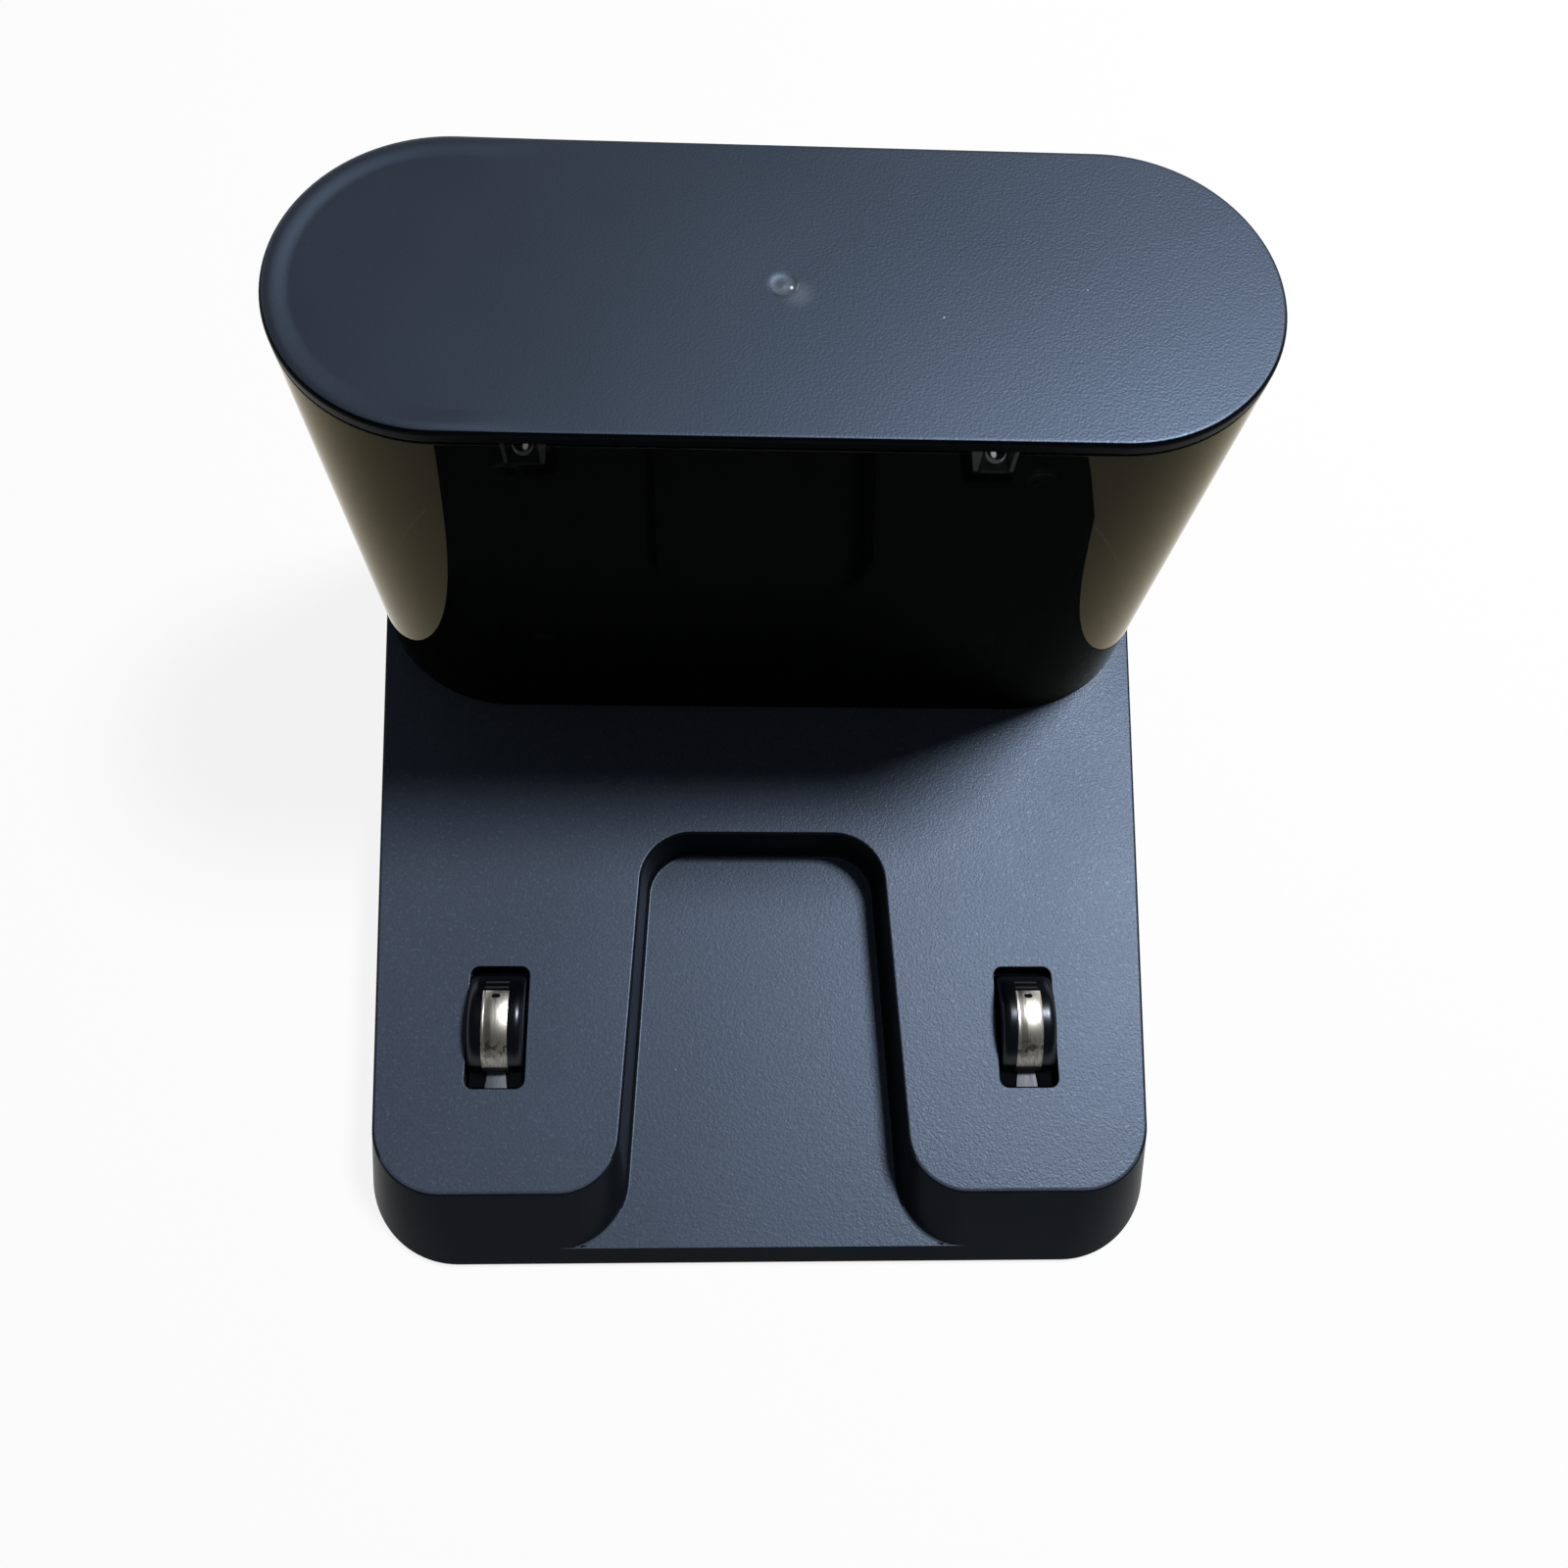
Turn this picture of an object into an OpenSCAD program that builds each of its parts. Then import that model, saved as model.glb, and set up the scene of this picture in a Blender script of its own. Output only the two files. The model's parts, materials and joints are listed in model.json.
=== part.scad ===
// Charging dock of a robot vacuum cleaner: a weighted base with two arms, a
// caster channel between them, two sprung contact shoes and a smoked tower.
// Millimetres. The origin lies on the floor under the middle of the base's
// length, with +Y to the rear and +Z up.

/* [Tower] */
// Width of the tower across its two rounded ends
tower_w = 150; // [142:1:162]
// Depth of the tower, which is the diameter of its ends
tower_d = 53; // [49:1:58]
// Height of the tower above the plate
tower_h = 92; // [84:1:110]
// Wall of the smoked sleeve
sleeve_wall = 2; // [1.6:0.1:2.6]
// Height of the cap's edge
cap_edge = 2.4; // [2:0.1:3.2]
// Rounding of the cap's top edge
cap_round = 0.8; // [0.4:0.1:1.2]
// Shadow gap between the cap and the sleeve
cap_gap = 0.35; // [0.2:0.05:0.6]

/* [Base] */
// Length of the base from its toe to its back
base_l = 156.5; // [150:0.5:170]
// Height of the base moulding, without its feet
base_t = 13; // [12.5:0.1:14]
// Height of the rubber feet below the moulding
foot_h = 1; // [0.6:0.1:1.6]
// Wall of the base moulding
base_wall = 2.2; // [1.8:0.1:2.5]
// Width of the plate at its toe, on top
toe_w = 137.6; // [132:0.2:142]
// How much wider the toe is at the floor, on each side
toe_flare = 1.8; // [0.5:0.1:3]
// How far the sloping toe runs forward from the plate's edge to the floor
toe_run = 11; // [8:0.5:13]
// Radius of the toe's outer corners on top
toe_r_top = 12.5; // [10:0.5:15]
// Radius of the toe's outer corners at the floor
toe_r_foot = 16.5; // [14:0.5:18]
// Rounding of the plate's top edge
plate_round = 0.6; // [0.3:0.1:1]

/* [Caster channel] */
// Depth of the shelf between the channel's back wall and the tower
shelf_l = 26.3; // [22:0.1:34]
// Width of the channel at its back
channel_back_w = 45.8; // [42:0.2:48]
// Width of the channel at its mouth
channel_mouth_w = 51; // [48:0.2:54]
// Height of the channel's floor above the bottom of the moulding
channel_floor = 3; // [2.8:0.1:3.4]
// Lean of the channel's walls over their height
channel_draft = 1; // [0.4:0.1:1.6]
// Radius of the channel's back corners on top
channel_r = 9.5; // [7:0.5:12]
// Radius of the arms' inner tips on top
tip_r_top = 10.5; // [8:0.5:12]
// Radius of the arms' inner tips at the channel's floor
tip_r_foot = 12; // [10:0.5:13]

/* [Charging contacts] */
// Distance between the two contacts
contact_pitch = 96; // [92:0.5:98]
// Distance of the contacts' middle from the toe
contact_from_toe = 40.2; // [38:0.2:43]
// Width of the slot in the plate
slot_w = 10.5; // [9.5:0.1:11]
// Length of the slot in the plate
slot_l = 22; // [20:0.2:23]
// Corner radius of the slot
slot_r = 1.5; // [0.8:0.1:2]
// Height of the shoe's crown above the plate
shoe_rise = 4.5; // [4:0.1:5.5]
// Length of the shoe's arch
shoe_l = 17.2; // [15.5:0.1:17.6]
// How far the shoe's crown lies behind the slot's middle
shoe_shift = 1.1; // [0.6:0.1:1.4]
// Travel of the shoe when the cleaner presses it down
shoe_travel = 3.5; // [2:0.1:3.5]
// Width of the plated strip
strip_w = 4.6; // [4:0.1:5.2]
// Thickness of the plated strip
strip_t = 0.4; // [0.3:0.05:0.5]
// Wire of the contact spring
spring_wire = 0.6; // [0.4:0.05:0.7]

/* [Emitters] */
// Distance between the two infrared emitters
emitter_pitch = 69; // [64:0.5:76]
// How far both emitters lie to the left of the middle
emitter_shift = 2.8; // [0:0.1:3.5]
// Depth of the emitters' tops below the cap's skirt
emitter_drop = 0.4; // [0.3:0.1:7]
// Distance of the board behind the sleeve's inner face
board_setback = 5.8; // [5.4:0.1:7]

/* [Hidden] */
$fn = 64;

// Clearances and overruns
fit_gap = 0.3;
seat_gap = 0.1;
slip_gap = 0.1;
cut_over = 1;

// Levels of the base
bottom_z = foot_h;
floor_z = foot_h + channel_floor;
plate_z = foot_h + base_t;
ceiling_z = plate_z - base_wall;
cover_t = 1.4;
cover_z = bottom_z + cover_t;

// Plan of the base
toe_y = -base_l / 2;
back_y = base_l / 2;
tower_r = tower_d / 2;
tower_y = back_y - tower_r;
end_x = tower_w / 2 - tower_r;
channel_l = base_l - tower_d - shelf_l;
corner_steps = 12;
end_steps = 24;
round_steps = 3;

// Tower
top_z = plate_z + tower_h;
cap_z = top_z - cap_edge;
sleeve_top_z = cap_z - cap_gap;
sleeve_front_y = tower_y - tower_r;
rim_wall = 1.4;
rim_h = 2.6;
skirt_wall = 1.4;
skirt_h = 3.3;
cap_rib_h = 2.4;
cap_rib_t = 1.2;
cap_rib_share = 0.28;
core_flange_t = 2.2;
core_wall = 2.2;
post_r = 4.6;
post_drop = 8;
post_x = end_x + 1.9 * post_r;
peg_r = 2.1;
peg_l = 11;
peg_foot_r = 3.4;

// Board and what it carries
board_w = 92;
board_t = 1.6;
board_y = sleeve_front_y + sleeve_wall + board_setback;
board_top_z = cap_z - skirt_h + fit_gap;
board_lift = 10;
board_bottom_z = plate_z + board_lift;
board_hole_r = 1.6;
board_hole_inset = 5;
board_screw_drop = 14;
standoff_r = 3;
standoff_l = 11;
spine_y = board_y + board_t + standoff_l;
spine_w = board_w + standoff_r * 2;
emitter_w = 6;
emitter_h = 6.2;
emitter_d = 4.8;
emitter_wall = 0.8;
emitter_led_r = 1.5;
emitter_rim_r = 1.9;
emitter_rim_t = 0.8;
emitter_top_z = cap_z - skirt_h - emitter_drop;
capacitor_r = 4;
capacitor_l = 9;
capacitor_x = 22;
capacitor_lift = 16;
capacitor_z = board_bottom_z + capacitor_lift;
chip_w = 6;
chip_h = 5;
chip_t = 1.5;
chip_x = -20;
chip_leg_t = 0.4;
chip_leg_l = 1.1;
chip_legs = 4;
plug_w = 16;
plug_h = 6;
plug_d = 7;
plug_lift = 3;
plug_z = board_bottom_z + plug_lift;

// Fixings
pilot_r = 1.25;
screw_r = 1.2;
screw_hole_r = 1.7;
screw_head_r = 2.8;
screw_head_h = 1.7;
screw_tip = 1.2;
recess_w = 0.8;
recess_share = 0.62;
recess_t = 0.7;
boss_r = 3.3;
cup_r = 4.4;
cup_bore_r = 3.2;
cup_floor = 1.2;
cup_depth = 2.4;
cover_screw_l = ceiling_z - bottom_z - cup_depth - fit_gap;
tower_screw_l = 9;
tower_boss_h = 9;
board_screw_l = 7;

// Inlet
jack_w = 10;
jack_l = 11;
jack_inset = 5;
jack_bore_r = 2.9;
jack_bore_l = 9;
jack_pin_r = 1.05;
jack_pin_l = 8;
window_w = 10.4;
window_r = 1.2;
window_lip = 0.6;
window_rib = 1.2;
jack_z = (cover_z + ceiling_z) / 2;
jack_h = ceiling_z - cover_z - 2 * seat_gap;
window_h = jack_h - 2 * window_lip;
jack_face_y = back_y - jack_inset;

// Feet and ballast
foot_r = 5;
foot_seat = 0.6;
foot_chamfer = 0.5;
ballast_w = 92;
ballast_t = 4.4;
ballast_r = 3;
ballast_reach = 4;
ballast_gap = 9;
ballast_front_y = sleeve_front_y - ballast_reach;
ballast_d = jack_face_y - jack_l - ballast_gap - ballast_front_y;
ballast_inset = 8;

// Cable way between the base and the tower
way_w = 26;
way_d = 9;
way_y = board_y + board_t + plug_d / 2 + seat_gap;

// Contact shoes, measured from the plate's top at the slot's middle
contact_x = contact_pitch / 2;
contact_y = toe_y + contact_from_toe;
carrier_w = slot_w - 2 * fit_gap;
arch_r = (shoe_l * shoe_l / 4 + shoe_rise * shoe_rise) / (2 * shoe_rise);
arch_z = shoe_rise - arch_r;
cheek_round = 2.1;
shoulder_z = -2.6;
block_l = slot_l - 4 * fit_gap;
block_drop = 2.4;
block_z = -(base_wall + block_drop);
wing_reach = 1.5;
wing_w = slot_w + 2 * wing_reach;
wing_l = 14;
wing_t = 1.6;
strip_proud = 0.15;
strip_gap = 0.04;
strip_rear_share = 0.55;
strip_tail_share = 0.3;
strip_hole_w = 1.5;
strip_hole_l = 0.8;
strip_hole_share = 0.43;
shoe_front = shoe_shift - shoe_l / 2;
tab_rear_w = 3.1;
tab_front_w = 4.2;
guide_gap = 0.35;
guide_wall = 1.2;
guide_lift = 0.5;

// Terminals, springs and leads
spring_nest_h = 3 * spring_wire;
terminal_t = 0.5;
terminal_w = 9;
terminal_l = 15;
terminal_tail_w = 3;
terminal_tail_l = 9;
spring_top_z = plate_z + block_z - strip_proud - seat_gap;
spring_z = spring_top_z - shoe_travel - spring_nest_h;
terminal_z = spring_z - seat_gap - terminal_t;
terminal_pad = terminal_z - cover_z;
spring_foot_r = 3.8;
spring_head_r = 2;
spring_turns = 4;
spring_steps = 18;
spring_sides = 6;
lead_r = 0.8;
lead_sides = 8;
lead_steps = 4;
lead_x = plug_w / 4;

// Fixing places, on the right-hand side where there is a pair
corner_x = toe_w / 2 - 2 * foot_r;
cover_screw_places = [
    [corner_x - foot_r - 3 * cup_r, contact_y - slot_l / 2 - guide_wall - 2 * cup_r],
    [(contact_x + toe_w / 2) / 2, contact_y + slot_l / 2 + 4 * cup_r],
    [end_x - 2 * cup_r, back_y - base_wall - 2 * cup_r]
];
tower_screw_places = [for (s = [-1, 1]) [post_x - post_r / 2, tower_y + s * tower_r * 0.5]];
foot_front = [corner_x, toe_y + toe_r_foot + 2 * foot_r];
foot_rear = [end_x + 2 * foot_r, tower_y + foot_r];
board_screw_places = [for (x = [-1, 1], z = [board_bottom_z + board_hole_inset,
    board_top_z - board_screw_drop]) [x * (board_w / 2 - board_hole_inset), z]];

// Number at share t of the way from a to b
function mix(a, b, t) = a + (b - a) * t;
function plate_share(z) = (z - bottom_z) / base_t;
function channel_share(z) = (z - floor_z) / (plate_z - floor_z);
function front_y(z) = toe_y + toe_run * plate_share(z);

// A plan is a ring of circles [x, y, signed radius, steps], anticlockwise: the
// outline runs round them like a belt, outside positive ones, inside negative.
function toe_circle(s, z) =
    let (r = mix(toe_r_foot, toe_r_top, plate_share(z)),
         half = toe_w / 2 + mix(toe_flare, 0, plate_share(z)))
    [s * (half - r), front_y(z) + r, r, corner_steps];
function tip_circle(s, z) =
    let (r = mix(tip_r_foot, tip_r_top, channel_share(z)),
         half = channel_mouth_w / 2 - mix(channel_draft, 0, channel_share(z)))
    [s * (half + r), front_y(z) + r, r, corner_steps];
function channel_circle(s, z) =
    let (lean = mix(channel_draft, 0, channel_share(z)), r = channel_r - lean)
    [s * (channel_back_w / 2 - lean - r), toe_y + channel_l - lean - r, -r, corner_steps];
function end_circle(s) = [s * end_x, tower_y, tower_r, end_steps];
function plate_plan(z) = [toe_circle(-1, z), toe_circle(1, z), end_circle(1), end_circle(-1)];
function arms_plan(z) = [
    toe_circle(-1, z), tip_circle(-1, z), channel_circle(-1, z), channel_circle(1, z),
    tip_circle(1, z), toe_circle(1, z), end_circle(1), end_circle(-1)
];
function inset(plan, by) = [for (c = plan) [c[0], c[1], c[2] - by, c[3]]];

// Direction of the outward normal of the belt between circles a and b
function belt_normal(a, b) =
    let (d = [b[0] - a[0], b[1] - a[1]])
    atan2(d[1], d[0]) - acos((a[2] - b[2]) / norm(d));
function turn(from, to, sign) =
    let (t = (to - from) % 360)
    sign > 0 ? (t < 0 ? t + 360 : t) : (t > 0 ? t - 360 : t);
function belt(plan, z) =
    let (n = len(plan))
    [for (i = [0 : n - 1])
        let (c = plan[i],
             a0 = belt_normal(plan[(i + n - 1) % n], c),
             sweep = turn(a0, belt_normal(c, plan[(i + 1) % n]), c[2]))
        for (k = [0 : c[3]])
            let (a = a0 + sweep * k / c[3])
            [c[0] + c[2] * cos(a), c[1] + c[2] * sin(a), z]];

// Solid through a stack of rings that have as many points each. Each end is
// closed by fans of points, each fan from its first point.
function backwards(fan) = concat([fan[0]], [for (i = [len(fan) - 1 : -1 : 1]) fan[i]]);
module loft(rings, fans = []) {
    n = len(rings[0]);
    top = (len(rings) - 1) * n;
    points = [for (ring = rings) for (p = ring) p];
    sides = [for (j = [0 : len(rings) - 2], i = [0 : n - 1])
        let (k = (i + 1) % n)
        each [[j * n + i, j * n + n + k, j * n + k], [j * n + i, j * n + n + i, j * n + n + k]]];
    feet = len(fans) > 0 ? fans : [[for (i = [0 : n - 1]) i]];
    heads = [for (fan = feet) [for (i = backwards(fan)) top + i]];
    polyhedron(points, concat(sides, feet, heads), convexity = 10);
}

// Fans that close the plan of the two arms: one from each rear side, one between
arm_points = corner_steps + 1;
last_point = 6 * arm_points + 2 * (end_steps + 1) - 1;
arms_fans = [
    concat([last_point], [for (i = [0 : 3 * arm_points]) i]),
    concat([6 * arm_points], [for (i = [3 * arm_points : 6 * arm_points - 1]) i]),
    concat([last_point, 3 * arm_points], [for (i = [6 * arm_points : last_point - 1]) i])
];

// Rings of a plan between two levels, with a rounded top edge where edge > 0
function straight_rings(lower, upper) = [belt(lower[0], lower[1]), belt(upper[0], upper[1])];
function rounded_rings(z, edge) = [for (k = [0 : round_steps])
    let (a = 90 * k / round_steps, level = z - edge * (1 - sin(a)))
    belt(inset(arms_plan(level), edge * (1 - cos(a))), level)];

// Tube of radius r along a list of points
function unit(v) = v / norm(v);
function tube_ring(p, t, across, r, sides) =
    let (u = unit(cross(t, across)), v = cross(t, u))
    [for (k = [0 : sides - 1]) p + r * (u * cos(360 * k / sides) + v * sin(360 * k / sides))];
module tube(path, r, sides, across) {
    last = len(path) - 1;
    loft([for (i = [0 : last])
        let (t = unit(path[min(i + 1, last)] - path[max(i - 1, 0)]))
        tube_ring(path[i], t, across, r, sides)]);
}

// Smooth path through hand-picked points
function spline(a, b, c, d, t) = 0.5 * (2 * b + (c - a) * t + (2 * a - 5 * b + 4 * c - d) * t * t
    + (3 * b - a - 3 * c + d) * t * t * t);
function smooth(points) =
    let (n = len(points) - 1)
    concat([for (i = [0 : n - 1], k = [0 : lead_steps - 1])
        spline(points[max(i - 1, 0)], points[i], points[i + 1], points[min(i + 2, n)], k / lead_steps)],
        [points[n]]);

module on_both_sides() {
    for (s = [0, 1]) mirror([s, 0, 0]) children();
}

// Flat outline with straight sides and two round ends
module stadium(w, d) {
    square([w - d, d], center = true);
    for (s = [-1, 1]) translate([s * (w - d) / 2, 0]) circle(d = d);
}

module rounded_square(w, d, r) {
    square([w - 2 * r, d], center = true);
    square([w, d - 2 * r], center = true);
    for (x = [-1, 1], y = [-1, 1]) translate([x * (w / 2 - r), y * (d / 2 - r)]) circle(r);
}

module ring_wall(w, d, wall, h) {
    linear_extrude(h) difference() {
        stadium(w, d);
        stadium(w - 2 * wall, d - 2 * wall);
    }
}

// Pan-head screw with its head's underside at the origin, pointing up
module screw(l) {
    difference() {
        rotate_extrude() union() {
            translate([0, -screw_head_h]) square([screw_head_r - screw_head_h / 2, screw_head_h]);
            translate([0, -screw_head_h / 2]) square([screw_head_r, screw_head_h / 2]);
            intersection() {
                translate([screw_head_r - screw_head_h / 2, -screw_head_h / 2]) circle(screw_head_h / 2);
                translate([0, -screw_head_h]) square([screw_head_r, screw_head_h]);
            }
            square([screw_r, l - screw_tip]);
            polygon([[0, 0], [screw_r, 0], [screw_r, l - screw_tip], [0, l]]);
        }
        for (a = [0, 90]) rotate(a)
            translate([0, 0, -screw_head_h]) cube([screw_head_r * 2 * recess_share, recess_w,
                2 * recess_t], center = true);
    }
}

// Base moulding
module base_outside() {
    loft(concat([belt(arms_plan(floor_z), floor_z)], rounded_rings(plate_z, plate_round)), arms_fans);
    loft(straight_rings([plate_plan(bottom_z), bottom_z], [plate_plan(floor_z), floor_z]));
}

module base_hollow() {
    low = bottom_z - cut_over;
    step = cover_z + seat_gap;
    loft(straight_rings([inset(plate_plan(low), base_wall), low],
        [inset(plate_plan(step), base_wall), step]));
    loft(straight_rings([inset(arms_plan(step), base_wall), step],
        [inset(arms_plan(ceiling_z), base_wall), ceiling_z]), arms_fans);
}

module contact_guide() {
    inner = [wing_w + 2 * guide_gap, slot_l + 2 * fit_gap];
    h = ceiling_z - spring_z - guide_lift;
    translate([contact_x, contact_y, ceiling_z - h]) linear_extrude(h + base_wall / 2) difference() {
        square(inner + 2 * [guide_wall, guide_wall], center = true);
        square(inner, center = true);
    }
}

module screw_boss(at, r, foot_z) {
    translate([at[0], at[1], foot_z]) cylinder(r = r, h = ceiling_z - foot_z + base_wall / 2);
}

module base_shell() {
    color("#2b3442") difference() {
        union() {
            difference() {
                base_outside();
                base_hollow();
            }
            on_both_sides() {
                contact_guide();
                for (at = cover_screw_places) screw_boss(at, boss_r, bottom_z + cup_floor + cup_depth);
                for (y = [ballast_front_y + ballast_inset, ballast_front_y + ballast_d - ballast_inset])
                    screw_boss([ballast_w / 2 - ballast_inset, y], boss_r,
                        cover_z + ballast_t + 2 * seat_gap);
                translate([window_w / 2 + seat_gap, jack_face_y - window_rib, jack_z - window_h / 2])
                    cube([window_rib, jack_inset + window_rib - base_wall / 2,
                        ceiling_z - jack_z + window_h / 2 + base_wall / 2]);
            }
            translate([0, tower_y, plate_z - base_wall / 2]) ring_wall(
                tower_w - 2 * (sleeve_wall + fit_gap), tower_d - 2 * (sleeve_wall + fit_gap),
                rim_wall, rim_h + base_wall / 2);
        }
        on_both_sides() {
            translate([contact_x, contact_y, ceiling_z - cut_over])
                linear_extrude(base_wall + 2 * cut_over) rounded_square(slot_w, slot_l, slot_r);
            for (at = cover_screw_places)
                translate([at[0], at[1], bottom_z]) cylinder(r = pilot_r, h = ceiling_z - bottom_z);
            for (at = tower_screw_places)
                translate([at[0], at[1], ceiling_z - cut_over])
                    cylinder(r = screw_hole_r, h = base_wall + 2 * cut_over);
        }
        translate([0, back_y - base_wall - cut_over, jack_z]) rotate([-90, 0, 0])
            linear_extrude(base_wall + 2 * cut_over) rounded_square(window_w, window_h, window_r);
        translate([0, way_y, plate_z]) cube([way_w, way_d, 2 * (base_wall + cut_over)], center = true);
    }
}

// Bottom cover, with cups that sink the screw heads and seats for the springs
module base_cover() {
    wall = base_wall + fit_gap;
    color("#23272e") difference() {
        union() {
            loft(straight_rings([inset(plate_plan(bottom_z), wall), bottom_z],
                [inset(plate_plan(cover_z), wall), cover_z]));
            on_both_sides() {
                for (at = cover_screw_places) translate([at[0], at[1], bottom_z])
                    cylinder(r = cup_r, h = cup_floor + cup_depth - seat_gap);
                translate([contact_x, contact_y, cover_z - cover_t / 2]) linear_extrude(
                    terminal_pad + cover_t / 2) square([terminal_w, terminal_l], center = true);
            }
        }
        on_both_sides() {
            for (at = cover_screw_places) translate([at[0], at[1], bottom_z]) {
                translate([0, 0, -cut_over]) cylinder(r = cup_bore_r, h = cup_depth + cut_over);
                cylinder(r = screw_hole_r, h = cup_depth + cup_floor + cut_over);
            }
            for (at = [foot_front, foot_rear]) translate([at[0], at[1], bottom_z - cut_over])
                cylinder(r = foot_r + seat_gap, h = foot_seat + cut_over);
        }
    }
}

module cover_screws() {
    color("#c4c6c8") on_both_sides() for (at = cover_screw_places)
        translate([at[0], at[1], bottom_z + cup_depth - seat_gap]) screw(cover_screw_l);
}

module ballast_plate() {
    color("#8a8d90") translate([0, ballast_front_y + ballast_d / 2, cover_z + seat_gap])
        linear_extrude(ballast_t) rounded_square(ballast_w, ballast_d, ballast_r);
}

module foot(at) {
    h = foot_h + foot_seat;
    color("#1c1c1e") translate([at[0], at[1], 0]) rotate_extrude() polygon([[0, 0],
        [foot_r - foot_chamfer, 0], [foot_r, foot_chamfer], [foot_r, h - seat_gap], [0, h - seat_gap]]);
}
module foot_front_right() foot(foot_front);
module foot_front_left() mirror([1, 0, 0]) foot(foot_front);
module foot_rear_right() foot(foot_rear);
module foot_rear_left() mirror([1, 0, 0]) foot(foot_rear);

// Tower core: a flange on the plate, a spine for the board and two posts for the cap
module tower_core() {
    inside = sleeve_wall + rim_wall + 2 * fit_gap;
    spine_top_z = board_top_z - fit_gap;
    post_top_z = cap_z - post_drop;
    color("#202226") difference() {
        union() {
            translate([0, tower_y, plate_z]) linear_extrude(core_flange_t)
                stadium(tower_w - 2 * inside, tower_d - 2 * inside);
            translate([-spine_w / 2, spine_y, plate_z]) cube([spine_w, core_wall, spine_top_z - plate_z]);
            for (p = board_screw_places) translate([p[0], spine_y + core_wall / 2, p[1]])
                rotate([90, 0, 0]) cylinder(r = standoff_r, h = standoff_l + core_wall / 2 - seat_gap);
            on_both_sides() {
                translate([post_x, tower_y, plate_z]) cylinder(r = post_r, h = post_top_z - plate_z);
                for (at = tower_screw_places)
                    translate([at[0], at[1], plate_z]) cylinder(r = boss_r, h = tower_boss_h);
                translate([spine_w / 2 - core_wall, spine_y, plate_z])
                    cube([post_x - spine_w / 2 + core_wall, core_wall, post_top_z - plate_z]);
            }
        }
        on_both_sides() {
            translate([post_x, tower_y, post_top_z - peg_l])
                cylinder(r = peg_r + slip_gap, h = peg_l + cut_over);
            for (at = tower_screw_places) translate([at[0], at[1], plate_z - cut_over])
                cylinder(r = pilot_r, h = tower_boss_h);
        }
        for (p = board_screw_places) translate([p[0], spine_y + core_wall + cut_over, p[1]])
            rotate([90, 0, 0]) cylinder(r = pilot_r, h = standoff_l + core_wall + 2 * cut_over);
        translate([0, way_y, plate_z]) cube([way_w, way_d, 2 * (core_flange_t + cut_over)], center = true);
    }
}

module tower_screws() {
    color("#c4c6c8") on_both_sides() for (at = tower_screw_places)
        translate([at[0], at[1], ceiling_z - seat_gap]) screw(tower_screw_l);
}

module tower_sleeve() {
    color("#0b0c0f") translate([0, tower_y, plate_z])
        ring_wall(tower_w, tower_d, sleeve_wall, sleeve_top_z - plate_z);
}

// Cap: a rounded lid with a skirt inside the sleeve, ribs and two pegs
module lid_profile() {
    square([tower_r, cap_edge - cap_round]);
    square([tower_r - cap_round, cap_edge]);
    translate([tower_r - cap_round, cap_edge - cap_round]) circle(cap_round);
}

module lid() {
    for (s = [-1, 1]) translate([s * end_x, 0, 0]) rotate([0, 0, s < 0 ? 90 : -90])
        rotate_extrude(angle = 180) lid_profile();
    translate([-end_x, 0, 0]) rotate([90, 0, 90]) linear_extrude(2 * end_x) {
        lid_profile();
        mirror([1, 0]) lid_profile();
    }
}

module tower_cap() {
    inset_w = 2 * (sleeve_wall + fit_gap);
    color("#333d4c") translate([0, tower_y, cap_z]) {
        lid();
        translate([0, 0, -skirt_h]) ring_wall(tower_w - inset_w, tower_d - inset_w, skirt_wall,
            skirt_h + cap_edge / 2);
        for (s = [-1, 1]) translate([-end_x, s * tower_d * cap_rib_share - cap_rib_t / 2, -cap_rib_h])
            cube([2 * end_x, cap_rib_t, cap_rib_h + cap_edge / 2]);
        on_both_sides() translate([post_x, 0, 0]) {
            translate([0, 0, seat_gap - post_drop]) cylinder(r = peg_foot_r, h = post_drop);
            translate([0, 0, fit_gap - post_drop - peg_l]) cylinder(r = peg_r, h = post_drop + peg_l);
        }
    }
}

// Board with what is soldered to it
module main_board() {
    color("#2f5d3a") difference() {
        translate([-board_w / 2, board_y, board_bottom_z])
            cube([board_w, board_t, board_top_z - board_bottom_z]);
        for (p = board_screw_places) translate([p[0], board_y + board_t + cut_over, p[1]])
            rotate([90, 0, 0]) cylinder(r = board_hole_r, h = board_t + 2 * cut_over);
    }
}

module board_screws() {
    color("#c4c6c8") for (p = board_screw_places)
        translate([p[0], board_y - seat_gap, p[1]]) rotate([-90, 0, 0]) screw(board_screw_l);
}

module capacitor() {
    color("#26324a") translate([capacitor_x, board_y + board_t + seat_gap, capacitor_z]) rotate([-90, 0, 0])
        difference() {
            cylinder(r = capacitor_r, h = capacitor_l);
            translate([0, 0, chip_leg_t * 2]) rotate_extrude()
                translate([capacitor_r + chip_leg_t, chip_leg_t]) circle(chip_leg_t * 2);
        }
}

module driver_chip() {
    color("#1b1c1e") translate([chip_x, board_y + board_t + seat_gap, capacitor_z]) {
        translate([0, chip_t / 2, 0]) cube([chip_w, chip_t, chip_h], center = true);
        for (s = [-1, 1], i = [0 : chip_legs - 1])
            translate([s * (chip_w + chip_leg_l) / 2, chip_leg_t,
                chip_h * ((i + 0.5) / chip_legs - 0.5)])
                cube([chip_leg_l + chip_leg_t, 2 * chip_leg_t, chip_leg_t], center = true);
    }
}

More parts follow.
